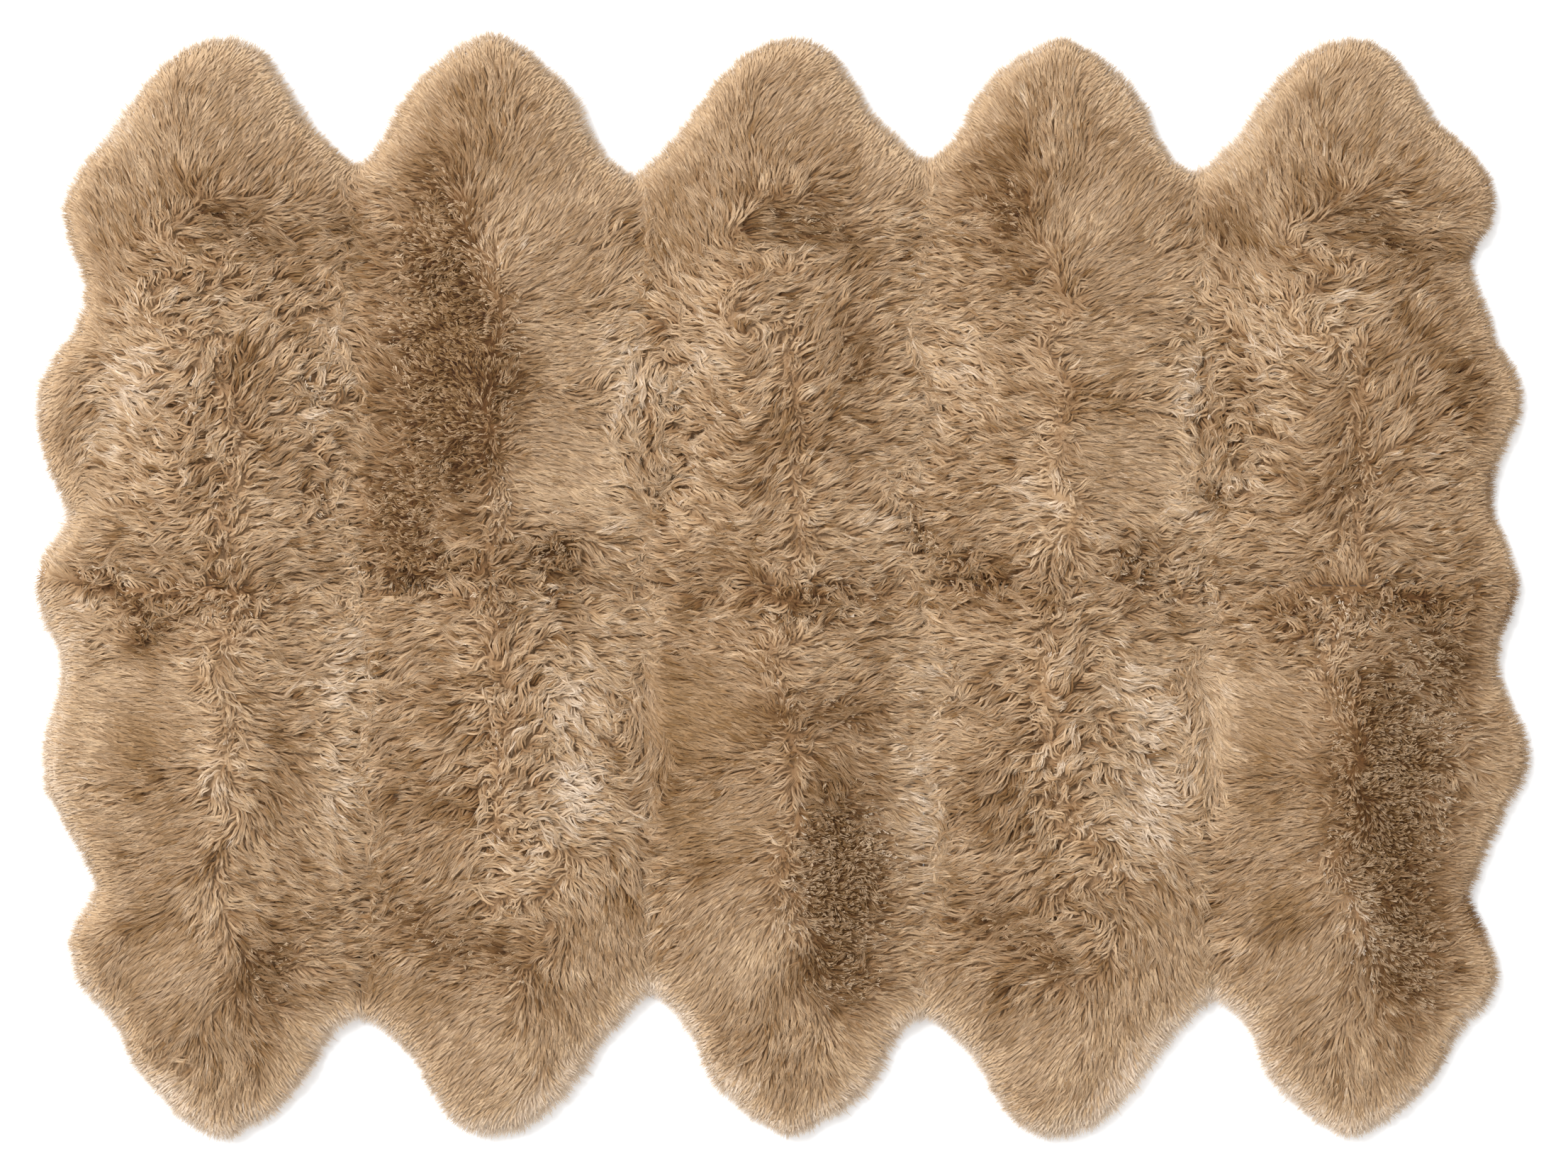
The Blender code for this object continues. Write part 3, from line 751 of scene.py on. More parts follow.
class RugMap:
    """What the model says of each place on the rug: its pelt, its height and its rim's distance."""

    CELL = 0.005
    MARGIN = 0.060
    ROUNDS = 12

    def __init__(self, nodes: dict[str, bpy.types.Object]) -> None:
        """Read the pelts.

        Args:
            nodes: The model's pelts by name.
        """
        self.names = sorted(nodes)
        low, high = (np.array(corner[:2]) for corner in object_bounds())
        self.low = low - self.MARGIN
        self.shape = tuple(int(n) for n in np.ceil((high + self.MARGIN - self.low) / self.CELL))
        self.pelt = np.full(self.shape, -1, dtype=int)
        self.top = np.zeros(self.shape)
        for number, name in enumerate(self.names):
            self.read_pelt(nodes[name], number)
        self.close_seams()
        self.rim = self.blurred(self.rim_distance(), self.ROUNDS)
        self.slope = np.stack(np.gradient(self.rim, self.CELL), axis=-1)
        self.top = self.blurred(self.top, 1)
        self.fall = np.stack(np.gradient(self.blurred(self.top, self.ROUNDS), self.CELL), axis=-1)

    def centres(self) -> Array:
        """The middle of each cell, one per row."""
        steps = np.indices(self.shape).reshape(2, -1).T
        return self.low + (steps + 0.5) * self.CELL

    def read_pelt(self, node: bpy.types.Object, number: int) -> None:
        """Note which cells a pelt covers and how high it is there.

        Args:
            node: The pelt's solid.
            number: The pelt's number.
        """
        mesh = bmesh.new()
        mesh.from_mesh(node.data)
        tree = BVHTree.FromBMesh(mesh)
        mesh.free()
        corners = np.array([corner[:2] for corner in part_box(node.name)])
        first, last = ((corners - self.low) / self.CELL).astype(int)
        down = Vector((0.0, 0.0, -1.0))
        for i in range(first[0], last[0] + 1):
            for j in range(first[1], last[1] + 1):
                x, y = self.low + (np.array((i, j)) + 0.5) * self.CELL
                hit = tree.ray_cast(Vector((x, y, 1.0)), down)[0]
                if hit is not None:
                    self.pelt[i, j] = number
                    self.top[i, j] = hit.z

    def distance_to(self, edge: Array) -> Array:
        """How far each cell lies from an edge.

        Args:
            edge: Which cells are on the edge.

        Returns:
            The distance from each cell to the nearest one on the edge.
        """
        tree = tree_of(self.low + (np.argwhere(edge) + 0.5) * self.CELL)
        found = [tree.find((x, y, 0.0))[2] for x, y in self.centres()]
        return np.array(found).reshape(self.shape)

    def rim_distance(self) -> Array:
        """How far each cell lies from the solids' rim.

        Returns:
            The distance, above 0 on the rug and below 0 off it.
        """
        on = self.pelt >= 0
        padded = np.pad(on, 1)
        inner = padded[:-2, 1:-1] & padded[2:, 1:-1] & padded[1:-1, :-2] & padded[1:-1, 2:]
        rim = on & ~inner
        away = self.distance_to(rim)
        return np.where(on, away, -away)

    @staticmethod
    def blurred(values: Array, times: int) -> Array:
        """Even values out with their neighbours.

        Args:
            values: A value for each cell.
            times: How often they are evened out.

        Returns:
            The new values.
        """
        for _ in range(times):
            padded = np.pad(values, 1, mode="edge")
            values = (
                padded[:-2, 1:-1] + padded[2:, 1:-1] + padded[1:-1, :-2] + padded[1:-1, 2:]
                + 4.0 * values
            ) / 8.0
        return values

    def close_seams(self) -> None:
        """Give each empty cell that has fallen between two pelts to one of them."""
        for axis in (0, 1):
            pelt, top = np.moveaxis(self.pelt, axis, 0), np.moveaxis(self.top, axis, 0)
            before, after = pelt[:-2], pelt[2:]
            gap = (pelt[1:-1] < 0) & (before >= 0) & (after >= 0)
            pelt[1:-1][gap] = before[gap]
            top[1:-1][gap] = np.maximum(top[:-2], top[2:])[gap]

    def sample(self, values: Array, places: Array) -> Array:
        """The values at places between the cells' middles.

        Args:
            values: A value, or a row of them, for each cell.
            places: Places on the rug, in metres, one per row.

        Returns:
            The value, or the row of them, at each place.
        """
        grid = (places - self.low) / self.CELL - 0.5
        grid = np.clip(grid, 0.0, np.array(self.shape) - 1.001)
        low = grid.astype(int)
        return between(values, low, low + 1, grid - low)

    def pelt_at(self, places: Array) -> Array:
        """Which pelt lies under a place.

        Args:
            places: Places on the rug, in metres, one per row.

        Returns:
            The pelt's number for each place, or -1 off the rug.
        """
        cell = ((places - self.low) / self.CELL).astype(int)
        cell = np.clip(cell, 0, np.array(self.shape) - 1)
        return self.pelt[cell[:, 0], cell[:, 1]]


@dataclass(frozen=True)
class Build:
    """The build of a lock: the shares of its length at which it bends, and how many fine ends it has."""

    bends: tuple[float, ...]
    ends: int


STRAIGHT_LOCK = Build((0.0, 0.42, 1.0), 3)
WAVY_LOCK = Build((0.0, 0.28, 0.55, 1.0), 3)
CURLY_LOCK = Build((0.0, 0.20, 0.38, 0.55, 0.72, 1.0), 3)

# The crimp up to which a lock is straight, and the one from which it curls
STRAIGHT_UP_TO = 0.0014
CURLY_FROM = 0.0024

# The rise from which wool begins to stand, and the one at which it does in full
STANDING_FROM = 0.42
STANDING_FULL = 0.78


@dataclass
class Dressing:
    """How the wool lies at a set of places: a row or a value for each place."""

    heading: Array
    reach: Array
    rise: Array
    crimp: Array
    bunching: Array
    straying: Array
    breadth: Array
    contrast: Array
    loft: Array
    tone: Array

    def chosen(self, some: Array) -> Dressing:
        """The lay at some of the places."""
        return Dressing(**{key: value[some] for key, value in vars(self).items()})

    def standing(self) -> Array:
        """How far the wool stands up at each place, from 0 to 1."""
        return np.clip((self.rise - STANDING_FROM) / (STANDING_FULL - STANDING_FROM), 0.0, 1.0)

    def curliness(self) -> Array:
        """How far the wool is crimped at each place, 1 where it is crimped in full."""
        return self.crimp / HABITS[State.CRIMPED].crimp


@dataclass
class Grain:
    """The lay of the wool over the whole rug, from the charted strokes, patches and tints."""

    rug: RugMap
    base_tone: float = 0.465
    rim_band: float = 0.075
    rim_paleness: float = 0.23
    rim_combing: float = 0.055
    rim_pull: float = 2.2
    parting_pull: float = 2.0
    parting_shade: float = 0.28
    uncombed_pull: float = 0.12
    spine_width: float = 0.06
    least_agreement: float = 0.60
    wandering: float = 0.16
    unevenness: float = 0.018
    cloudiness: float = 0.050
    flecking: float = 0.060
    # Past these the rim's paleness is cut back, painted shade, or raised, painted light
    right_end: float = 1.05
    front_necks: float = -0.5

    def __post_init__(self) -> None:
        """Set out the ripples that keep the lay from looking even."""
        self.drift = Ripple(0.070, SEED + 1)
        self.wander = Ripple(0.024, SEED + 2)
        self.cloud = Ripple(0.110, SEED + 3)
        self.fleck = Ripple(0.030, SEED + 4)
        self.strokes = [stroke for lie in LIES for stroke in lie.strokes()]
        charted = vars(self.charted(self.rug.centres()))
        self.chart = {
            key: values.reshape(*self.rug.shape, *values.shape[1:]) for key, values in charted.items()
        }

    def moved(self, places: Array) -> Array:
        """The places, shifted a little this way and that, so that what is charted looks uneven."""
        shift = np.stack((self.drift.at(places + 7.0), self.drift.at(places + 19.0)), axis=1)
        return places + self.unevenness * shift

    def outward(self, places: Array) -> Array:
        """The direction out over the rim at each place."""
        return unit(-self.rug.sample(self.rug.slope, places))

    def from_spine(self, places: Array) -> Array:
        """The lay where no stroke reaches, which leads away from the nearest pelt's spine.

        Args:
            places: Places on the rug, in metres, one per row.

        Returns:
            The lay at each place, weaker near a spine.
        """
        necks = np.array([lie.x for lie in LIES]) * MM
        back = places[:, 1] > 0
        own = np.where(back[:, None], necks[None, :5], necks[None, 5:])
        gap = places[:, 0][:, None] - own
        nearest = np.abs(gap).argmin(axis=1)
        off = gap[np.arange(len(places)), nearest]
        return np.stack((np.tanh(off / self.spine_width), np.where(back, 0.3, -0.3)), axis=1)

    def combed(self, places: Array) -> tuple[Array, Array, Array]:
        """The lay that the strokes give.

        Args:
            places: Places on the rug, in metres, one per row.

        Returns:
            The lay, how far the strokes agree there from 0 to 1, and how smooth they leave it.
        """
        moved = self.moved(places)
        total = self.uncombed_pull * self.from_spine(moved)
        weights = np.full(len(places), self.uncombed_pull)
        smooth = np.zeros(len(places))
        for oval, heading, smoothing in self.strokes:
            weight = oval.weight(moved)
            angle = math.radians(heading)
            total += weight[:, None] * np.array((math.cos(angle), math.sin(angle)))
            weights += weight
            smooth = np.maximum(smooth, weight * smoothing)
        edge = np.clip(1.0 - self.rug.sample(self.rug.rim, places) / self.rim_combing, 0.0, 1.0)
        pull = self.rim_pull * edge**1.5 * weights
        total += self.outward(places) * pull[:, None]
        weights += pull
        for parting in PARTINGS:
            offset, distance = parting.foot(places)
            near = np.exp(-((distance / (parting.width * 2.5)) ** 2))
            pull = self.parting_pull * parting.depth * near * weights
            total += offset / np.maximum(distance, 1.0)[:, None] * pull[:, None]
            weights += pull
        lay = total / weights[:, None]
        lay[:, 0] += self.wandering * self.drift.at(places) * (1.0 - edge)
        lay[:, 1] += self.wandering * self.cloud.at(places + 3.0) * (1.0 - edge)
        agreement = np.clip(np.linalg.norm(lay, axis=1), 0.0, 1.0)
        return lay, agreement, np.maximum(smooth, edge**0.7)

    def dress(self, places: Array) -> Dressing:
        """How the wool lies.

        Args:
            places: Places on the rug, in metres, one per row.

        Returns:
            The lay at each place.
        """
        values = {key: self.rug.sample(grid, places) for key, grid in self.chart.items()}
        values["heading"] = unit(values["heading"])
        return Dressing(**values)

    def charted(self, places: Array) -> Dressing:
        """Work out how the wool lies from the strokes, the patches and the tints.

        Args:
            places: Places on the rug, in metres, one per row.

        Returns:
            The lay at each place.
        """
        lay, agreement, smooth = self.combed(places)
        start, end = vars(HABITS[State.LOOSE]), vars(HABITS[State.BRUSHED])
        values = {name: start[name] + (end[name] - start[name]) * smooth for name in start}
        moved = self.moved(places)
        for state, ovals in PATCHES.items():
            for oval in ovals:
                weight = oval.weight(moved)
                for name, value in vars(HABITS[state]).items():
                    values[name] += (value - values[name]) * weight
        rim = self.rug.sample(self.rug.rim, places)
        pale = np.clip(1.0 - rim / self.rim_band, 0.0, 1.0)
        for name in ("straying", "crimp", "contrast", "rise", "bunching"):
            values[name] *= 1.0 - 0.7 * pale
        values["breadth"] *= 1.0 - 0.4 * pale
        self.unsettle(values, np.clip(1.0 - agreement / self.least_agreement, 0.0, 1.0))
        calm = 1.0 - 0.75 * smooth
        angle = angle_of(lay) + calm * (0.34 * self.drift.at(places) + 0.30 * self.wander.at(places))
        return Dressing(heading=way_of(angle), tone=self.tone(places, pale), **values)

    @staticmethod
    def unsettle(values: dict[str, Array], unsure: Array) -> None:
        """Make the wool shorter, steeper and more tangled where the strokes disagree.

        Args:
            values: The lay's values by name.
            unsure: How far the strokes disagree at each place, from 0 to 1.
        """
        values["reach"] *= 1.0 - 0.40 * unsure
        values["rise"] += (0.60 - values["rise"]) * 0.6 * unsure
        values["straying"] += 40.0 * unsure
        values["crimp"] += 0.0026 * unsure
        values["bunching"] += (0.65 - values["bunching"]) * unsure
        values["loft"] += (0.80 - values["loft"]) * 0.6 * unsure

    def tone(self, places: Array, pale: Array) -> Array:
        """The wool's tone, from 0 for dark to 1 for pale.

        Args:
            places: Places on the rug, in metres, one per row.
            pale: How near the rim each place is, from 0 to 1.

        Returns:
            The tone at each place.
        """
        tone = np.full(len(places), self.base_tone)
        for tint in TINTS:
            tone += tint.change(places)
        for parting in PARTINGS:
            _, distance = parting.foot(places)
            tone -= self.parting_shade * np.exp(-((distance / parting.width) ** 2)) * parting.depth
        # Paler towards the rim: partly the paler tips there, partly painted light. Less so on the right end's
        # rims, painted shade where they face away from the light; more so on the front necks' rims, painted
        # light against the shade on their down-facing slopes
        outward = self.outward(places)
        right = np.clip(outward[:, 0], 0.0, 1.0) * (places[:, 0] > self.right_end)
        front = np.clip(-outward[:, 1], 0.0, 1.0) * (places[:, 1] < self.front_necks)
        tone += self.rim_paleness * pale**1.7 * (1.0 - 0.6 * right + front)
        tone += self.cloudiness * self.cloud.at(places)
        return tone + self.flecking * self.fleck.at(places) * (1.0 - pale)


@dataclass
class Strands:
    """Tapered strands of one build: arrays with a row for each strand.

    Attributes:
        points: The points of each strand's middle line, from root to tip.
        side: The sideways direction at each point.
        normal: The direction that the wool's surface faces at each point.
        width: The width at each point, 0 at the tip.
        tone: Each strand's tone.
        span: The share of a lock's length at which each strand starts and ends.
        share: The share of each strand's length at which its points lie.
        fork: The offset of each of a strand's fine ends from its last point.
        rounding: How far each strand's two sides face apart.
        strip: The breadth of tone that a strand takes up, and so how many fibres it shows.
        pelt: The number of each strand's pelt.
    """

    points: Array
    side: Array
    normal: Array
    width: Array
    tone: Array
    span: Array
    share: tuple[float, ...]
    fork: Array
    rounding: Array
    strip: float
    pelt: Array

    @classmethod
    def single(
        cls, ends: Array, level: Array, normal: Array, width: Array, tone: Array, span: Array, pelt: Array,
    ) -> Strands:
        """Strands of one fine fibre each, straight from root to tip.

        Args:
            ends: The root and the tip of each fibre.
            level: Each fibre's sideways direction.
            normal: The direction that the wool's surface faces at both ends.
            width: Each fibre's width at its root.
            tone: Each fibre's tone.
            span: The share of a lock's length at which each fibre starts and ends.
            pelt: The number of each fibre's pelt.

        Returns:
            The strands.
        """
        count = len(ends)
        return cls(
            points=ends, side=np.repeat(level[:, None, :], 2, axis=1), normal=normal,
            width=np.stack((width, np.zeros(count)), axis=1), tone=np.clip(tone, DARKEST, PALEST),
            span=span, share=(0.0, 1.0), fork=np.zeros((count, 1, 3)), rounding=np.zeros(count),
            strip=SINGLE_STRIP, pelt=pelt,
        )

    def of_pelt(self, number: int) -> Strands:
        """Pick out the strands that grow on one pelt.

        Args:
            number: The pelt's number.

        Returns:
            The strands.
        """
        mine = self.pelt == number
        rows = {key: value[mine] if isinstance(value, Array) else value for key, value in vars(self).items()}
        return Strands(**rows)

    def corners(self) -> tuple[Array, Array, Array]:
        """The strands' corners.

        Returns:
            The corners' places, normals and map coordinates, one row each. Each strand has
            two corners at every point but its last, then those between its fine ends, and
            last the ends themselves.
        """
        half = self.side * (self.width * 0.5)[:, :, None]
        count, stations = self.width.shape
        ends = self.fork.shape[1]
        body = np.stack((self.points - half, self.points + half), axis=2)[:, :-1]
        split = np.arange(1, ends) / ends
        left, right = body[:, -1, :1], body[:, -1, 1:]
        notches = left + (right - left) * split[None, :, None]
        tips = self.points[:, -1:] + self.fork
        places = np.concatenate((body.reshape(count, -1, 3), notches, tips), axis=1)
        rounding = self.side[:, :-1] * self.rounding[:, None, None]
        facing = np.stack((self.normal[:, :-1] - rounding, self.normal[:, :-1] + rounding), axis=2)
        outer = np.repeat(self.normal[:, -1:], 2 * ends - 1, axis=1)
        normals = unit(np.concatenate((facing.reshape(count, -1, 3), outer), axis=1))
        low = np.clip(self.tone, 0.0, 1.0 - self.strip)[:, None]
        pairs = np.tile((0.0, 1.0), stations - 1)
        across = low + self.strip * np.concatenate((pairs, split, (np.arange(ends) + 0.5) / ends))
        share = np.array(self.share[:-1])
        share = np.concatenate((np.repeat(share, 2), np.full(ends - 1, share[-1]), np.ones(ends)))
        along = self.span[:, :1] + (self.span[:, 1:] - self.span[:, :1]) * share
        maps = np.stack((across, along), axis=2)
        return places.reshape(-1, 3), normals.reshape(-1, 3), maps.reshape(-1, 2)

    def faces(self) -> tuple[Array, Array]:
        """The strands' faces.

        Returns:
            Each face's corners one after another, and how many corners each face has.
        """
        count, stations = self.width.shape
        ends = self.fork.shape[1]
        last = 2 * (stations - 2)
        base = [last, *range(last + 2, last + 1 + ends), last + 1]
        first_tip = last + 1 + ends
        faces = [(2 * k, 2 * k + 1, 2 * k + 3, 2 * k + 2) for k in range(stations - 2)]
        faces += [(base[k], base[k + 1], first_tip + k) for k in range(ends)]
        order = np.concatenate([np.array(face) for face in faces])
        every = (np.arange(count)[:, None] * (first_tip + ends) + order[None, :]).ravel()
        return every, np.tile([len(face) for face in faces], count)


@dataclass
class Wool:
    """The locks of the whole rug, and the finer fibres between and around them."""

    rug: RugMap
    grain: Grain
    overhang: float = 0.0130
    overhang_drift: tuple[float, float] = (1.03, 0.40)
    leaning: float = 0.6

    # The tufts
    tuft_spacing: float = 0.0120
    tuft_inset: float = 0.006
    crimped_thinning: float = 0.55
    tuft_reach: tuple[float, float] = (0.75, 1.25)

    # The locks
    spacing: float = 0.0057
    inset: float = 0.010
    standing_thinning: float = 0.80
    lock_turn: float = 0.12
    lock_reach: tuple[float, float] = (0.72, 1.18)
    lock_drawing: tuple[float, float] = (0.6, 1.0)
    lock_overhang: tuple[float, float] = (0.45, 1.0)
    lock_width: float = 0.0040
    lock_breadth: tuple[float, float] = (0.7, 1.25)
    lock_taper: tuple[tuple[float, ...], tuple[float, ...]] = ((0.0, 0.35, 0.75, 1.0), (0.75, 1.0, 0.60, 0.0))
    lock_roll: float = 0.42
    lock_waves: tuple[float, float] = (0.9, 1.3)
    lock_layers: tuple[float, float] = (-0.0050, 0.0006)
    tuft_layers: float = 0.0016
    lock_curl: float = 0.003
    deepest_loft: float = 0.70
    rim_drop: float = 0.012
    rim_height: float = 0.0035
    lowest: float = 0.0025
    forking: float = 2.3
    fork_length: tuple[float, float] = (-0.45, 0.15)
    pale_root: float = 0.62

    # The fibres along the locks
    fibre_width: float = 0.0010
    fibres_per_lock: float = 1.4
    fibre_start: tuple[float, float] = (0.20, 0.75)
    fibre_length: tuple[float, float] = (0.45, 0.70)
    fibre_rise: tuple[float, float] = (0.0002, 0.0012)
    fibre_contrast: float = 0.085

    # The stubble
    stub_spacing: float = 0.0042
    stub_inset: float = 0.012
    stub_spread: float = 0.0010
    stub_depth: float = 0.0080
    stub_drop: float = 0.0010
    blades_per_stub: int = 4
    stubble_length: float = 0.0110
    stubble_paleness: float = 0.03
    # How much darker the sunk blades and paler the raised ones are painted: painted shade and light by height
    stubble_contrast: tuple[float, float] = (0.80, 0.46)
    blade_contrast: float = 0.06

    # The fringe
    fringe_spacing: float = 0.0016
    fringe_inset: float = 0.004
    fringe_band: float = 0.013
    fringe_fading: float = 0.005
    fringe_loft: float = 0.85
    fringe_turn: float = 0.30
    fringe_reach: tuple[float, float] = (0.2, 1.1)
    fringe_depth: float = 0.0080
    fringe_contrast: float = 0.040

    def scattered(self, rng: np.random.Generator, spacing: float, inset: float) -> Array:
        """Places on the rug, one in each square of a grid.

        Args:
            rng: The source of chance.
            spacing: The side of the grid's squares.
            inset: How far inside the rim the places stay.

        Returns:
            The places, one per row.
        """
        low, high = (np.array(corner[:2]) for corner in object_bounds())
        counts = np.ceil((high - low) / spacing).astype(int)
        steps = np.indices(tuple(counts)).reshape(2, -1).T
        places = low + (steps + rng.uniform(0.0, 1.0, steps.shape)) * spacing
        inside = self.rug.sample(self.rug.rim, places) > inset
        return places[inside & (self.rug.pelt_at(places) >= 0)]

    def within_rim(self, roots: Array, tips: Array, over: Array) -> Array:
        """The tips, drawn back so that none lies further over the solids' rim than it may.

        Args:
            roots: The locks' roots.
            tips: The tips where the lay puts them.
            over: How far over the rim each tip may lie, in metres.

        Returns:
            The tips' places.
        """
        for _ in range(2):
            start = self.rug.sample(self.rug.rim, roots)
            end = self.rug.sample(self.rug.rim, tips)
            share = np.clip((start + over) / np.maximum(start - end, 1e-6), 0.15, 1.0)
            share = np.where(end < -over, share, 1.0)
            tips = roots + (tips - roots) * share[:, None]
        return tips

    def reach_over(self, places: Array) -> Array:
        """How far over the rim the wool reaches, more in some places than in others."""
        mean, swing = self.overhang_drift
        return self.overhang * (mean + swing * self.grain.drift.at(places))

    def grow(self) -> list[Strands]:
        """Grow every lock and fibre.

        Returns:
            The strands of each sort.
        """
        rng = np.random.default_rng(SEED)
        tufts = self.scattered(rng, self.tuft_spacing, self.tuft_inset)
        of_tuft = self.grain.dress(tufts)
        thinned = np.clip(of_tuft.curliness(), 0.0, 1.0) * self.crimped_thinning
        kept = rng.uniform(0.0, 1.0, len(tufts)) > thinned
        tufts, of_tuft = tufts[kept], of_tuft.chosen(kept)
        groups = len(tufts)
        turn = np.radians(of_tuft.straying) * rng.normal(0.0, 1.0, groups)
        tuft_lay = way_of(angle_of(of_tuft.heading) + turn)
        tuft_tone = of_tuft.contrast * rng.normal(0.0, 1.0, groups)
        tuft_reach = rng.uniform(*self.tuft_reach, groups)
        tuft_lift = rng.uniform(-1.0, 1.0, groups)
        phase = rng.uniform(0.0, 2.0 * math.pi, groups)
        tuft_tips = tufts + tuft_lay * (of_tuft.reach * tuft_reach)[:, None]
        roots = self.scattered(rng, self.spacing, self.inset)
        lay = self.grain.dress(roots)
        kept = rng.uniform(0.0, 1.0, len(roots)) > self.standing_thinning * lay.standing() ** 2
        roots, lay = roots[kept], lay.chosen(kept)
        tree = tree_of(tufts)
        owner = np.array([tree.find((x, y, 0.0))[1] for x, y in roots])
        count = len(roots)
        turned = turn[owner] + rng.normal(0.0, self.lock_turn, count)
        cos, sin = np.cos(turned), np.sin(turned)
        x, y = lay.heading.T
        own_lay = np.stack((x * cos - y * sin, x * sin + y * cos), axis=1)
        reach = lay.reach * tuft_reach[owner] * rng.uniform(*self.lock_reach, count)
        tips = roots + own_lay * reach[:, None]
        drawn = lay.bunching * rng.uniform(*self.lock_drawing, count)
        tips += (tuft_tips[owner] - tips) * drawn[:, None]
        over = rng.uniform(*self.lock_overhang, count) * self.reach_over(roots)
        tips = self.within_rim(roots, tips, over)
        gap = (roots - tufts[owner]) / self.tuft_spacing
        shared = np.stack((tuft_tone[owner], tuft_lift[owner], phase[owner]), axis=1)
        plain, curly = lay.crimp < STRAIGHT_UP_TO, lay.crimp > CURLY_FROM
        built = []
        for build, some in ((STRAIGHT_LOCK, plain), (WAVY_LOCK, ~plain & ~curly), (CURLY_LOCK, curly)):
            part = lay.chosen(some)
            locks = self.locks(rng, build, roots[some], tips[some], part, shared[some], gap[some])
            built += [locks, self.fibres(rng, locks, part)]
        return built + [self.stubble(rng), self.fringe(rng)]

    def stubble(self, rng: np.random.Generator) -> Strands:
        """The wool that stands up, seen end on: stubs of a few fine fibres that widen to their tips.

        Args:
            rng: The source of chance.

        Returns:
            The fibres.
        """
        stubs = self.scattered(rng, self.stub_spacing, self.stub_inset)
        lay = self.grain.dress(stubs)
        kept = rng.uniform(0.0, 1.0, len(stubs)) < lay.standing()
        stubs, lay = stubs[kept], lay.chosen(kept)
        sort = rng.uniform(0.0, 1.0, len(stubs))
        turn = rng.normal(0.0, 0.40, len(stubs)) + 0.8 * self.grain.wander.at(stubs)
        reach = self.stubble_length * rng.uniform(0.6, 1.4, len(stubs))
        owner = np.repeat(np.arange(len(stubs)), self.blades_per_stub)
        count = len(owner)
        roots = stubs[owner] + rng.normal(0.0, self.stub_spread, (count, 2))
        turn = turn[owner] + rng.normal(0.0, 0.15, count)
        length = reach[owner] * rng.uniform(0.8, 1.2, count)
        rising = self.stub_depth * (sort[owner] - 1.0) - self.stub_drop
        # The blades set lowest in the pile are painted darker and those set highest paler: painted shade and
        # light by height
        darker, paler = self.stubble_contrast
        tone = np.where(sort > 0.5, paler, darker) * (sort - 0.5)
        tone = self.stubble_paleness + tone[owner] + rng.normal(0.0, self.blade_contrast, count)
        lay = lay.chosen(owner)
        blades = self.blades(rng, roots, lay, turn, length, lay.loft - 0.05, rising, lay.tone + tone)
        blades.points = blades.points[:, ::-1]
        blades.span = blades.span[:, ::-1]
        way = blades.points[:, :1] - blades.points[:, 1:]
        skew = rng.uniform(-1.6, 1.6, count)[:, None, None]
        blades.side = skew * way / length[:, None, None] - blades.side
        return blades

    def fringe(self, rng: np.random.Generator) -> Strands:
        """The fine fibres that soften the rug's rim.

        Args:
            rng: The source of chance.

        Returns:
            The fibres.
        """
        roots = self.scattered(rng, self.fringe_spacing, self.fringe_inset)
        rim = self.rug.sample(self.rug.rim, roots)
        dense = np.clip((self.fringe_band - rim) / self.fringe_fading, 0.0, 1.0)
        kept = rng.uniform(0.0, 1.0, len(roots)) < dense
        roots, rim = roots[kept], rim[kept]
        lay = self.grain.dress(roots)
        count = len(roots)
        turn = rng.normal(0.0, self.fringe_turn, count)
        length = rim + self.reach_over(roots) * rng.uniform(*self.fringe_reach, count)
        rising = rng.uniform(-self.fringe_depth, 0.0, count)
        tone = lay.tone + rng.normal(0.02, self.fringe_contrast, count)
        foot = np.full(count, self.fringe_loft)
        return self.blades(rng, roots, lay, turn, length, foot, rising, tone)

    def blades(
        self, rng: np.random.Generator, roots: Array, lay: Dressing, turn: Array,
        length: Array, foot: Array, rising: Array, tone: Array,
    ) -> Strands:
        """Set short single fibres.

        Args:
            rng: The source of chance.
            roots: The fibres' roots.
            lay: How the wool lies at each root.
            turn: How far each fibre is turned out of the lay, in radians.
            length: The fibres' lengths.
            foot: How high each fibre starts, as a share of the pile.
            rising: How far above the pile each tip ends.
            tone: The fibres' tones.

        Returns:
            The fibres.
        """
        count = len(roots)
        way = way_of(angle_of(lay.heading) + turn)
        top = self.rug.sample(self.rug.top, roots)
        start = np.column_stack((roots, np.maximum(top * foot, 0.003)))
        end = np.column_stack((roots + way * length[:, None], np.maximum(top + rising, 0.002)))
        level = np.column_stack((way[:, 1], -way[:, 0], np.zeros(count)))
        slope = self.rug.sample(self.rug.fall, roots)
        facing = np.column_stack((-self.leaning * slope + 0.15 * way, np.ones(count)))
        width = self.fibre_width * rng.uniform(0.9, 1.7, count)
        span = np.column_stack((rng.uniform(0.1, 0.6, count), np.ones(count)))
        ends, normal = np.stack((start, end), axis=1), np.repeat(facing[:, None, :], 2, axis=1)
        return Strands.single(ends, level, normal, width, tone, span, self.rug.pelt_at(roots))

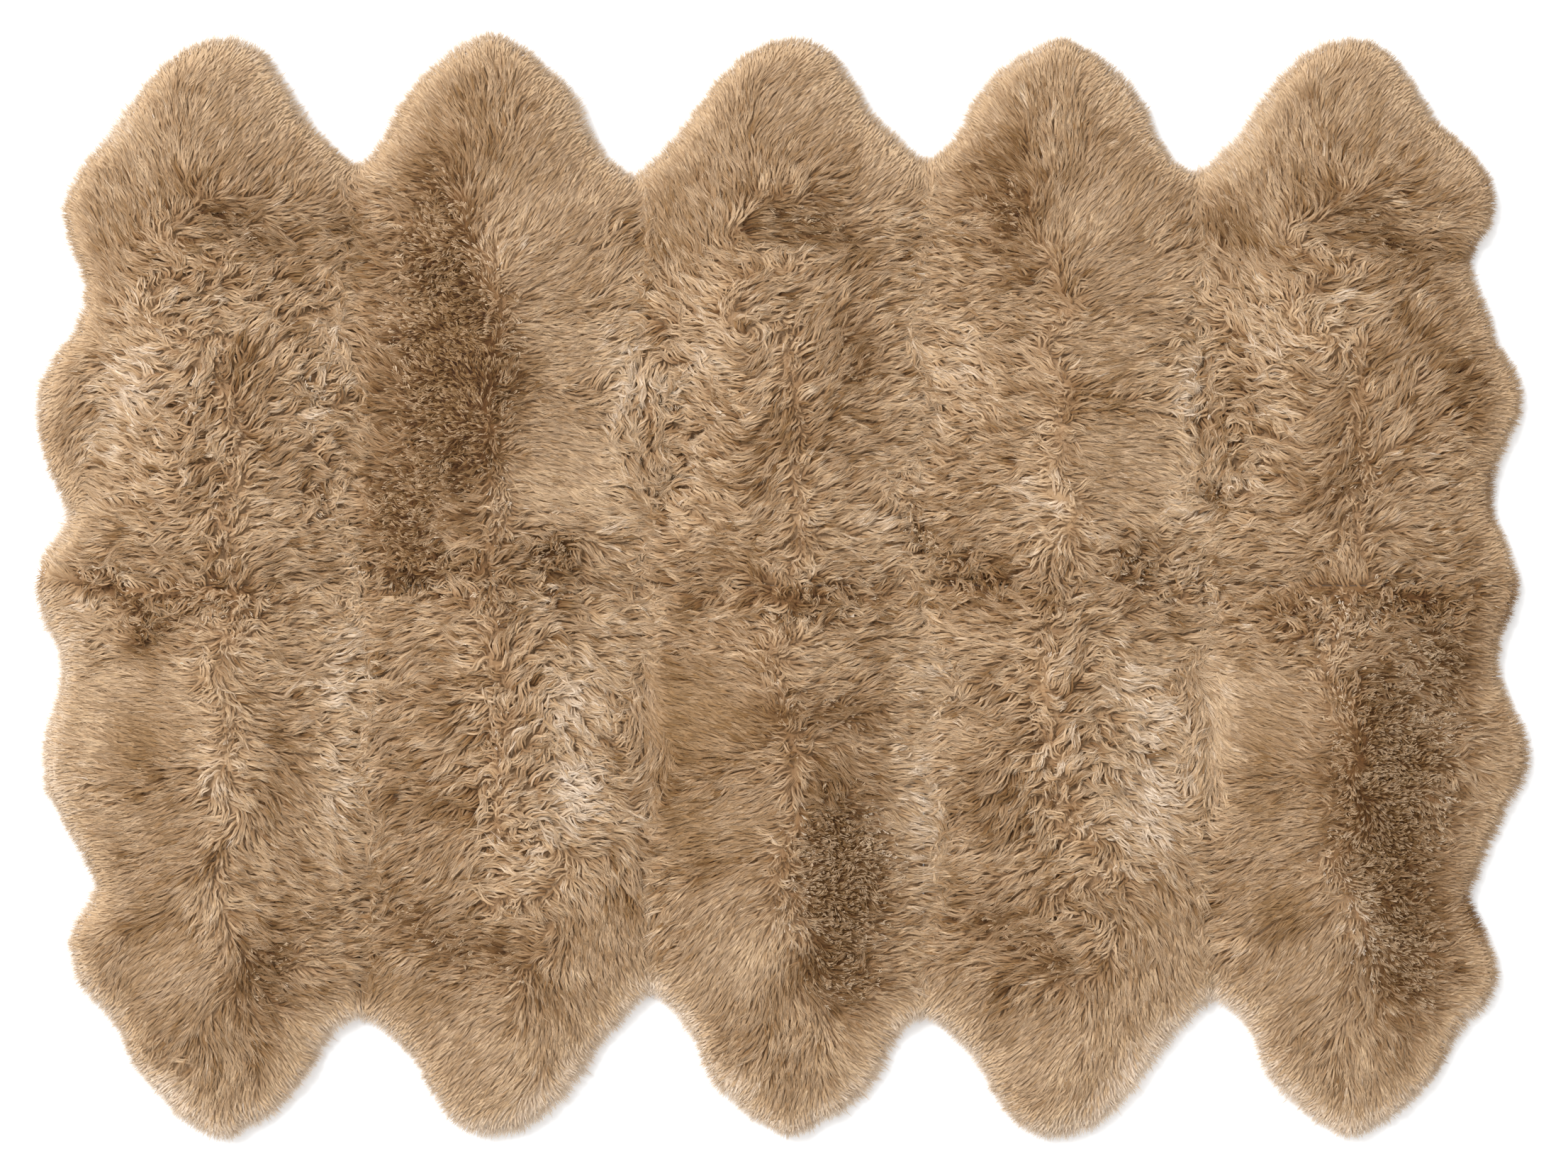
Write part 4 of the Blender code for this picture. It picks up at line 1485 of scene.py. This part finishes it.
    def locks(
        self, rng: np.random.Generator, build: Build, roots: Array, tips: Array,
        lay: Dressing, shared: Array, gap: Array,
    ) -> Strands:
        """Bend each lock from its root over to its tip.

        Args:
            rng: The source of chance.
            build: The locks' build.
            roots: The locks' roots.
            tips: The locks' tips.
            lay: How the wool lies at each root.
            shared: The tone, lift and wave phase that each lock shares with its tuft.
            gap: How far each root lies from its tuft's middle, in tufts' spacings.

        Returns:
            The locks.
        """
        count = len(roots)
        stations, ends = len(build.bends), build.ends
        tuft_tone, tuft_lift, phase = shared.T
        span = tips - roots
        ahead = unit(span)
        across = np.stack((-ahead[:, 1], ahead[:, 0]), axis=1)
        share = np.array(build.bends)
        run = share[None, :] ** (1.0 + lay.rise[:, None])
        waves = rng.uniform(*self.lock_waves, count)
        swing = np.sin(2 * math.pi * waves[:, None] * share + phase[:, None]) - np.sin(phase)[:, None]
        swing *= lay.crimp[:, None] * (0.35 + 0.65 * share)
        flat = roots[:, None, :] + span[:, None, :] * run[:, :, None]
        flat = flat + across[:, None, :] * swing[:, :, None]
        every = flat.reshape(-1, 2)
        top = self.rug.sample(self.rug.top, every).reshape(count, -1)
        rim = self.rug.sample(self.rug.rim, every).reshape(count, -1)
        base = self.rug.sample(self.rug.top, roots) * lay.loft
        deep = (1.0 - lay.loft) / (1.0 - self.deepest_loft)
        layer = deep * rng.uniform(*self.lock_layers, count) + self.tuft_layers * deep * tuft_lift
        target = np.maximum(top + layer[:, None], 0.004)
        drop = np.clip(-rim / self.rim_drop, 0.0, 1.0)
        target = target * (1.0 - 0.85 * drop) + self.rim_height * drop
        climb = 1.0 - (1.0 - share[None, :]) ** (2.6 - 1.3 * lay.rise[:, None])
        curl = np.sin(math.pi * share)[None, :] * (self.lock_curl * rng.uniform(0.0, 1.0, count))[:, None]
        height = np.maximum(base[:, None] + (target - base[:, None]) * climb + curl, self.lowest)
        points = np.concatenate((flat, height[:, :, None]), axis=2)
        along = unit(np.gradient(points, axis=1))
        level = unit(np.cross(along, UP))
        upper = np.cross(level, along)
        roll = np.clip(rng.normal(0.0, self.lock_roll, count) * deep, -1.1, 1.1)[:, None, None]
        taper = np.interp(share, *self.lock_taper)
        size = self.lock_width * lay.breadth * rng.uniform(*self.lock_breadth, count)
        slope = self.rug.sample(self.rug.fall, roots)
        facing = np.column_stack((-self.leaning * slope, np.ones(count)))
        sideways = (gap * across).sum(axis=1, keepdims=True) * across
        facing[:, :2] += 0.25 * deep[:, None] * sideways
        facing[:, :2] += (0.01 + 0.06 * deep)[:, None] * rng.normal(0.0, 1.0, (count, 2))
        facing[:, :2] += (0.05 + 0.20 * lay.rise)[:, None] * ahead
        facing = unit(facing)
        sideways = (np.arange(ends) - (ends - 1) / 2)[None, :] + rng.normal(0.0, 0.25, (count, ends))
        shorter = rng.uniform(*self.fork_length, (count, ends))[:, :, None]
        fork = level[:, -1:] * (sideways * (self.forking / ends * size)[:, None])[:, :, None]
        fork = fork + (points[:, -1:] - points[:, -2:-1]) * shorter
        fork[:, :, 2] += np.maximum(0.002 - points[:, -1:, 2] - fork[:, :, 2], 0.0)
        # Where the pile is deep the locks start at the map's dark root end, partly the roots' own colour and
        # partly painted shade; where it lies shallow and flat they start paler
        start = self.pale_root * np.clip(1.0 - (deep - 0.2) / 0.7, 0.0, 1.0) * (1.0 - lay.standing())
        stray = tuft_tone + (0.012 + 0.075 * deep) * rng.normal(0.0, 1.0, count)
        paler = 0.75 * np.clip((1.0 - lay.tone) / 0.5, 0.3, 1.0)
        tone = lay.tone + 0.05 * lay.standing() + np.where(stray > 0.0, paler, 1.2) * stray
        return Strands(
            points=points, side=level * np.cos(roll) + upper * np.sin(roll),
            normal=np.repeat(facing[:, None, :], stations, axis=1),
            width=size[:, None] * taper[None, :], tone=np.clip(tone, DARKEST, PALEST),
            span=np.column_stack((start, np.ones(count))), share=build.bends, fork=fork,
            rounding=0.02 + 0.14 * deep, strip=LOCK_STRIP, pelt=self.rug.pelt_at(roots),
        )

    def fibres(self, rng: np.random.Generator, locks: Strands, lay: Dressing) -> Strands:
        """Lay fine straight fibres along the outer part of each lock.

        Args:
            rng: The source of chance.
            locks: The locks.
            lay: How the wool lies at each lock's root.

        Returns:
            The fibres.
        """
        number = rng.poisson(self.fibres_per_lock * np.clip(lay.curliness(), 0.25, 1.0))
        owner = np.repeat(np.arange(len(number)), number)
        total = len(owner)
        curly = np.clip(lay.curliness()[owner], 0.0, 1.0)
        start = rng.uniform(*self.fibre_start, total)
        end = np.minimum(start + rng.uniform(*self.fibre_length, total) * (1.0 - 0.35 * curly), 1.12)
        bends = np.array(locks.share)
        ends = []
        for share in (start, end):
            first = np.searchsorted(bends[1:-1], share)
            part = ((share - bends[first]) / (bends[first + 1] - bends[first]))[:, None]
            near, far = locks.points[owner, first], locks.points[owner, first + 1]
            spread = locks.width.max(axis=1)[owner] * rng.normal(0.0, 0.42, total)
            side = locks.side[owner, first]
            ends.append(near + (far - near) * part + side * spread[:, None])
        ends = np.stack(ends, axis=1)
        ends[:, :, 2] += rng.uniform(*self.fibre_rise, (total, 1)) + np.array((0.0, 0.0003))
        ends[:, :, 2] = np.maximum(ends[:, :, 2], 0.0015)
        level = unit(np.cross(ends[:, 1] - ends[:, 0], UP))
        width = self.fibre_width * rng.uniform(0.7, 1.3, total)
        tone = locks.tone[owner] + rng.normal(0.01, self.fibre_contrast, total)
        span = np.stack((start, np.minimum(end, 1.0)), axis=1)
        return Strands.single(
            ends, level, locks.normal[owner][:, :2], width, tone, span, locks.pelt[owner],
        )


@dataclass
class Pelt:
    """One pelt: a thin skin, cut to the solid's sole, and the fleece that grows on it."""

    name: str
    node: bpy.types.Object
    rug: RugMap
    grain: Grain
    skin_thickness: float = 0.002
    skin_inset: float = 0.010
    undercoat_inset: float = 0.008
    undercoat_drop: float = 0.02

    def merged(self) -> bmesh.types.BMesh:
        """Join the solid's loose triangles.

        Returns:
            A copy of its mesh, in one piece.
        """
        mesh = bmesh.new()
        mesh.from_mesh(self.node.data)
        bmesh.ops.remove_doubles(mesh, verts=mesh.verts[:], dist=0.00001)
        return mesh

    def drawn_in(self, mesh: bmesh.types.BMesh, inset: float) -> None:
        """Draw the mesh in from the rug's rim, but not from its seams.

        Args:
            mesh: The mesh.
            inset: How far the mesh then lies inside the rim, in metres.
        """
        verts = mesh.verts[:]
        for _ in range(3):
            places = np.array([vert.co[:2] for vert in verts])
            rim = self.rug.sample(self.rug.rim, places)
            slope = unit(self.rug.sample(self.rug.slope, places))
            step = np.clip(inset - rim, 0.0, 0.03) * 0.8
            for vert, (x, y), move in zip(verts, slope, step):
                vert.co.x += x * move
                vert.co.y += y * move

    def skin(self, material: bpy.types.Material) -> tuple[bpy.types.Object, float]:
        """Cut the skin.

        Args:
            material: Its finish.

        Returns:
            The skin's object and its flat area in square metres.
        """
        mesh = self.merged()
        sole = [f for f in mesh.faces if f.normal.z < -0.99 and f.calc_center_median().z < 0.0002]
        others = [face for face in mesh.faces if face not in set(sole)]
        bmesh.ops.delete(mesh, geom=others, context="FACES")
        self.drawn_in(mesh, self.skin_inset)
        bmesh.ops.dissolve_faces(mesh, faces=mesh.faces[:])
        for vert in mesh.verts:
            vert.co.z = 0.0
        area = sum(face.calc_area() for face in mesh.faces)
        bmesh.ops.triangulate(mesh, faces=mesh.faces[:])
        bmesh.ops.recalc_face_normals(mesh, faces=mesh.faces[:])
        if mesh.faces[0].normal.z < 0:
            bmesh.ops.reverse_faces(mesh, faces=mesh.faces[:])
        raised = bmesh.ops.extrude_face_region(mesh, geom=mesh.faces[:], use_keep_orig=True)["geom"]
        upper = [item for item in raised if isinstance(item, bmesh.types.BMVert)]
        bmesh.ops.translate(mesh, verts=upper, vec=(0.0, 0.0, self.skin_thickness))
        bmesh.ops.recalc_face_normals(mesh, faces=mesh.faces[:])
        data = bpy.data.meshes.new(f"skin_{self.name}")
        mesh.to_mesh(data)
        mesh.free()
        data.materials.append(material)
        return placed(data.name, data), area

    def undercoat(self) -> tuple[bmesh.types.BMesh, Array]:
        """The dense wool that the locks are rooted in.

        Returns:
            Its mesh, and the map coordinates of its points.
        """
        mesh = self.merged()
        bmesh.ops.subdivide_edges(mesh, edges=mesh.edges[:], cuts=1, use_grid_fill=True)
        self.drawn_in(mesh, self.undercoat_inset)
        places = np.array([vert.co[:2] for vert in mesh.verts])
        dress = self.grain.dress(places)
        for vert, loft in zip(mesh.verts, dress.loft):
            vert.co.z = max(vert.co.z * (loft - self.undercoat_drop), self.skin_thickness + 0.0003)
        # Painted shade: the undercoat is drawn darker where the gaps between locks are deeper and where the
        # wool stands, besides the roots' own darker colour
        shade = np.clip(0.34 + (dress.loft - 0.74) * 2.2 - 0.35 * dress.standing(), 0.1, 0.8)
        return mesh, np.column_stack((dress.tone, shade))

    def fleece(self, strands: list[Strands], material: bpy.types.Material) -> bpy.types.Object:
        """Join the undercoat, the locks and the fibres into the pelt's fleece.

        Args:
            strands: The pelt's locks and fibres.
            material: The wool's finish.

        Returns:
            The fleece's object.
        """
        base, base_map = self.undercoat()
        bmesh.ops.triangulate(base, faces=base.faces[:])
        base.verts.index_update()
        base.normal_update()
        places = [np.array([vert.co[:] for vert in base.verts])]
        normals = [np.array([vert.normal[:] for vert in base.verts])]
        maps = [np.clip(base_map, DARKEST, PALEST)]
        loops = [np.array([[vert.index for vert in face.verts] for face in base.faces]).ravel()]
        sizes = [np.full(len(base.faces), 3)]
        base.free()
        for batch in strands:
            every, counts = batch.faces()
            loops.append(every + sum(len(group) for group in places))
            sizes.append(counts)
            for found, group in zip((places, normals, maps), batch.corners()):
                found.append(group)
        places, normals, maps = (np.concatenate(found) for found in (places, normals, maps))
        loops, sizes = np.concatenate(loops), np.concatenate(sizes)
        data = bpy.data.meshes.new(f"fleece_{self.name}")
        data.vertices.add(len(places))
        data.vertices.foreach_set("co", places.astype(np.float32).ravel())
        data.loops.add(len(loops))
        data.loops.foreach_set("vertex_index", loops.astype(np.int32))
        data.polygons.add(len(sizes))
        data.polygons.foreach_set("loop_start", (np.cumsum(sizes) - sizes).astype(np.int32))
        data.update(calc_edges=True)
        data.polygons.foreach_set("use_smooth", np.ones(len(sizes), dtype=bool))
        layer = data.uv_layers.new(name=UV_NAME)
        layer.data.foreach_set("uv", maps[loops].astype(np.float32).ravel())
        data.normals_split_custom_set_from_vertices(normals)
        data.materials.append(material)
        return placed(data.name, data)


@dataclass
class Studio:
    """The floor, the light and the camera, which looks straight down on the rug."""

    frame_width: float = 2.546
    lens: float = 85.0
    sensor: float = 36.0
    aim: tuple[float, float] = (0.0063, -0.0029)
    rim_height: float = 0.010
    floor_gap: float = 0.0005
    sky: float = 0.78

    def floor(self) -> None:
        """A plain white floor just under the rug."""
        mesh = bmesh.new()
        bmesh.ops.create_grid(mesh, x_segments=1, y_segments=1, size=12.0)
        data = bpy.data.meshes.new("floor")
        mesh.to_mesh(data)
        mesh.free()
        material = bpy.data.materials.new("studio_floor")
        material.use_nodes = True
        shader = material.node_tree.nodes["Principled BSDF"]
        shader.inputs["Base Color"].default_value = (0.93, 0.93, 0.93, 1.0)
        shader.inputs["Roughness"].default_value = 0.9
        shader.inputs["Emission Color"].default_value = (1.0, 1.0, 1.0, 1.0)
        shader.inputs["Emission Strength"].default_value = 0.2
        data.materials.append(material)
        made = placed("floor", data)
        made.location.z = -self.floor_gap
        made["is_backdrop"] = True

    def light(self, name: str, place: tuple[float, float, float], size: float, power: float) -> None:
        """A square soft light that faces the rug's middle.

        Args:
            name: Its name.
            place: Where it hangs.
            size: The length of its side.
            power: Its power in watts.
        """
        data = bpy.data.lights.new(name, "AREA")
        data.shape = "SQUARE"
        data.size = size
        data.energy = power
        lamp = placed(name, data)
        lamp.location = place
        lamp.rotation_euler = (-Vector(place)).to_track_quat("-Z", "Y").to_euler()

    def build(self) -> None:
        """Set up the studio."""
        scene = bpy.context.scene
        scene.view_settings.view_transform = "Standard"
        world = bpy.data.worlds.new("studio")
        world.use_nodes = True
        background = world.node_tree.nodes["Background"]
        background.inputs["Color"].default_value = (1.0, 1.0, 1.0, 1.0)
        background.inputs["Strength"].default_value = self.sky
        scene.world = world
        self.floor()
        self.light("key", (-11.0, 9.2, 15.5), 7.5, 3850.0)
        data = bpy.data.cameras.new("camera")
        data.lens = self.lens
        data.sensor_width = self.sensor
        camera = placed("camera", data)
        height = self.rim_height + self.frame_width * self.lens / self.sensor
        camera.location = (*self.aim, height)
        scene.camera = camera


def build_pelts(frame: dict) -> None:
    """Build every pelt's skin and fleece.

    Args:
        frame: The packed model.
    """
    rug = RugMap(frame["nodes"])
    LOG.info("mapped %d pelts", len(rug.names))
    grain = Grain(rug)
    wool = Wool(rug, grain).grow()
    LOG.info("grew %d locks and fibres", sum(len(batch.tone) for batch in wool))
    finish, suede = WoolFinish().make(), SuedeFinish().make()
    for number, name in enumerate(rug.names):
        pelt = Pelt(name.removeprefix("pelt_"), frame["nodes"][name], rug, grain)
        fleece = pelt.fleece([batch.of_pelt(number) for batch in wool], finish)
        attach(fleece, "root")
        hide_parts(name)
        skin, area = pelt.skin(suede)
        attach(skin, "root")
        triangles = len(fleece.data.loops) - 2 * len(fleece.data.polygons)
        LOG.info("%s: %d triangles of wool, skin of %.3f square metres", name, triangles, area)


def main() -> None:
    """Load the model, dress it and note its size."""
    logging.basicConfig(level=logging.INFO, format="%(name)s: %(message)s")
    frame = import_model()
    Studio().build()
    build_pelts(frame)


if __name__ == "__main__":
    main()
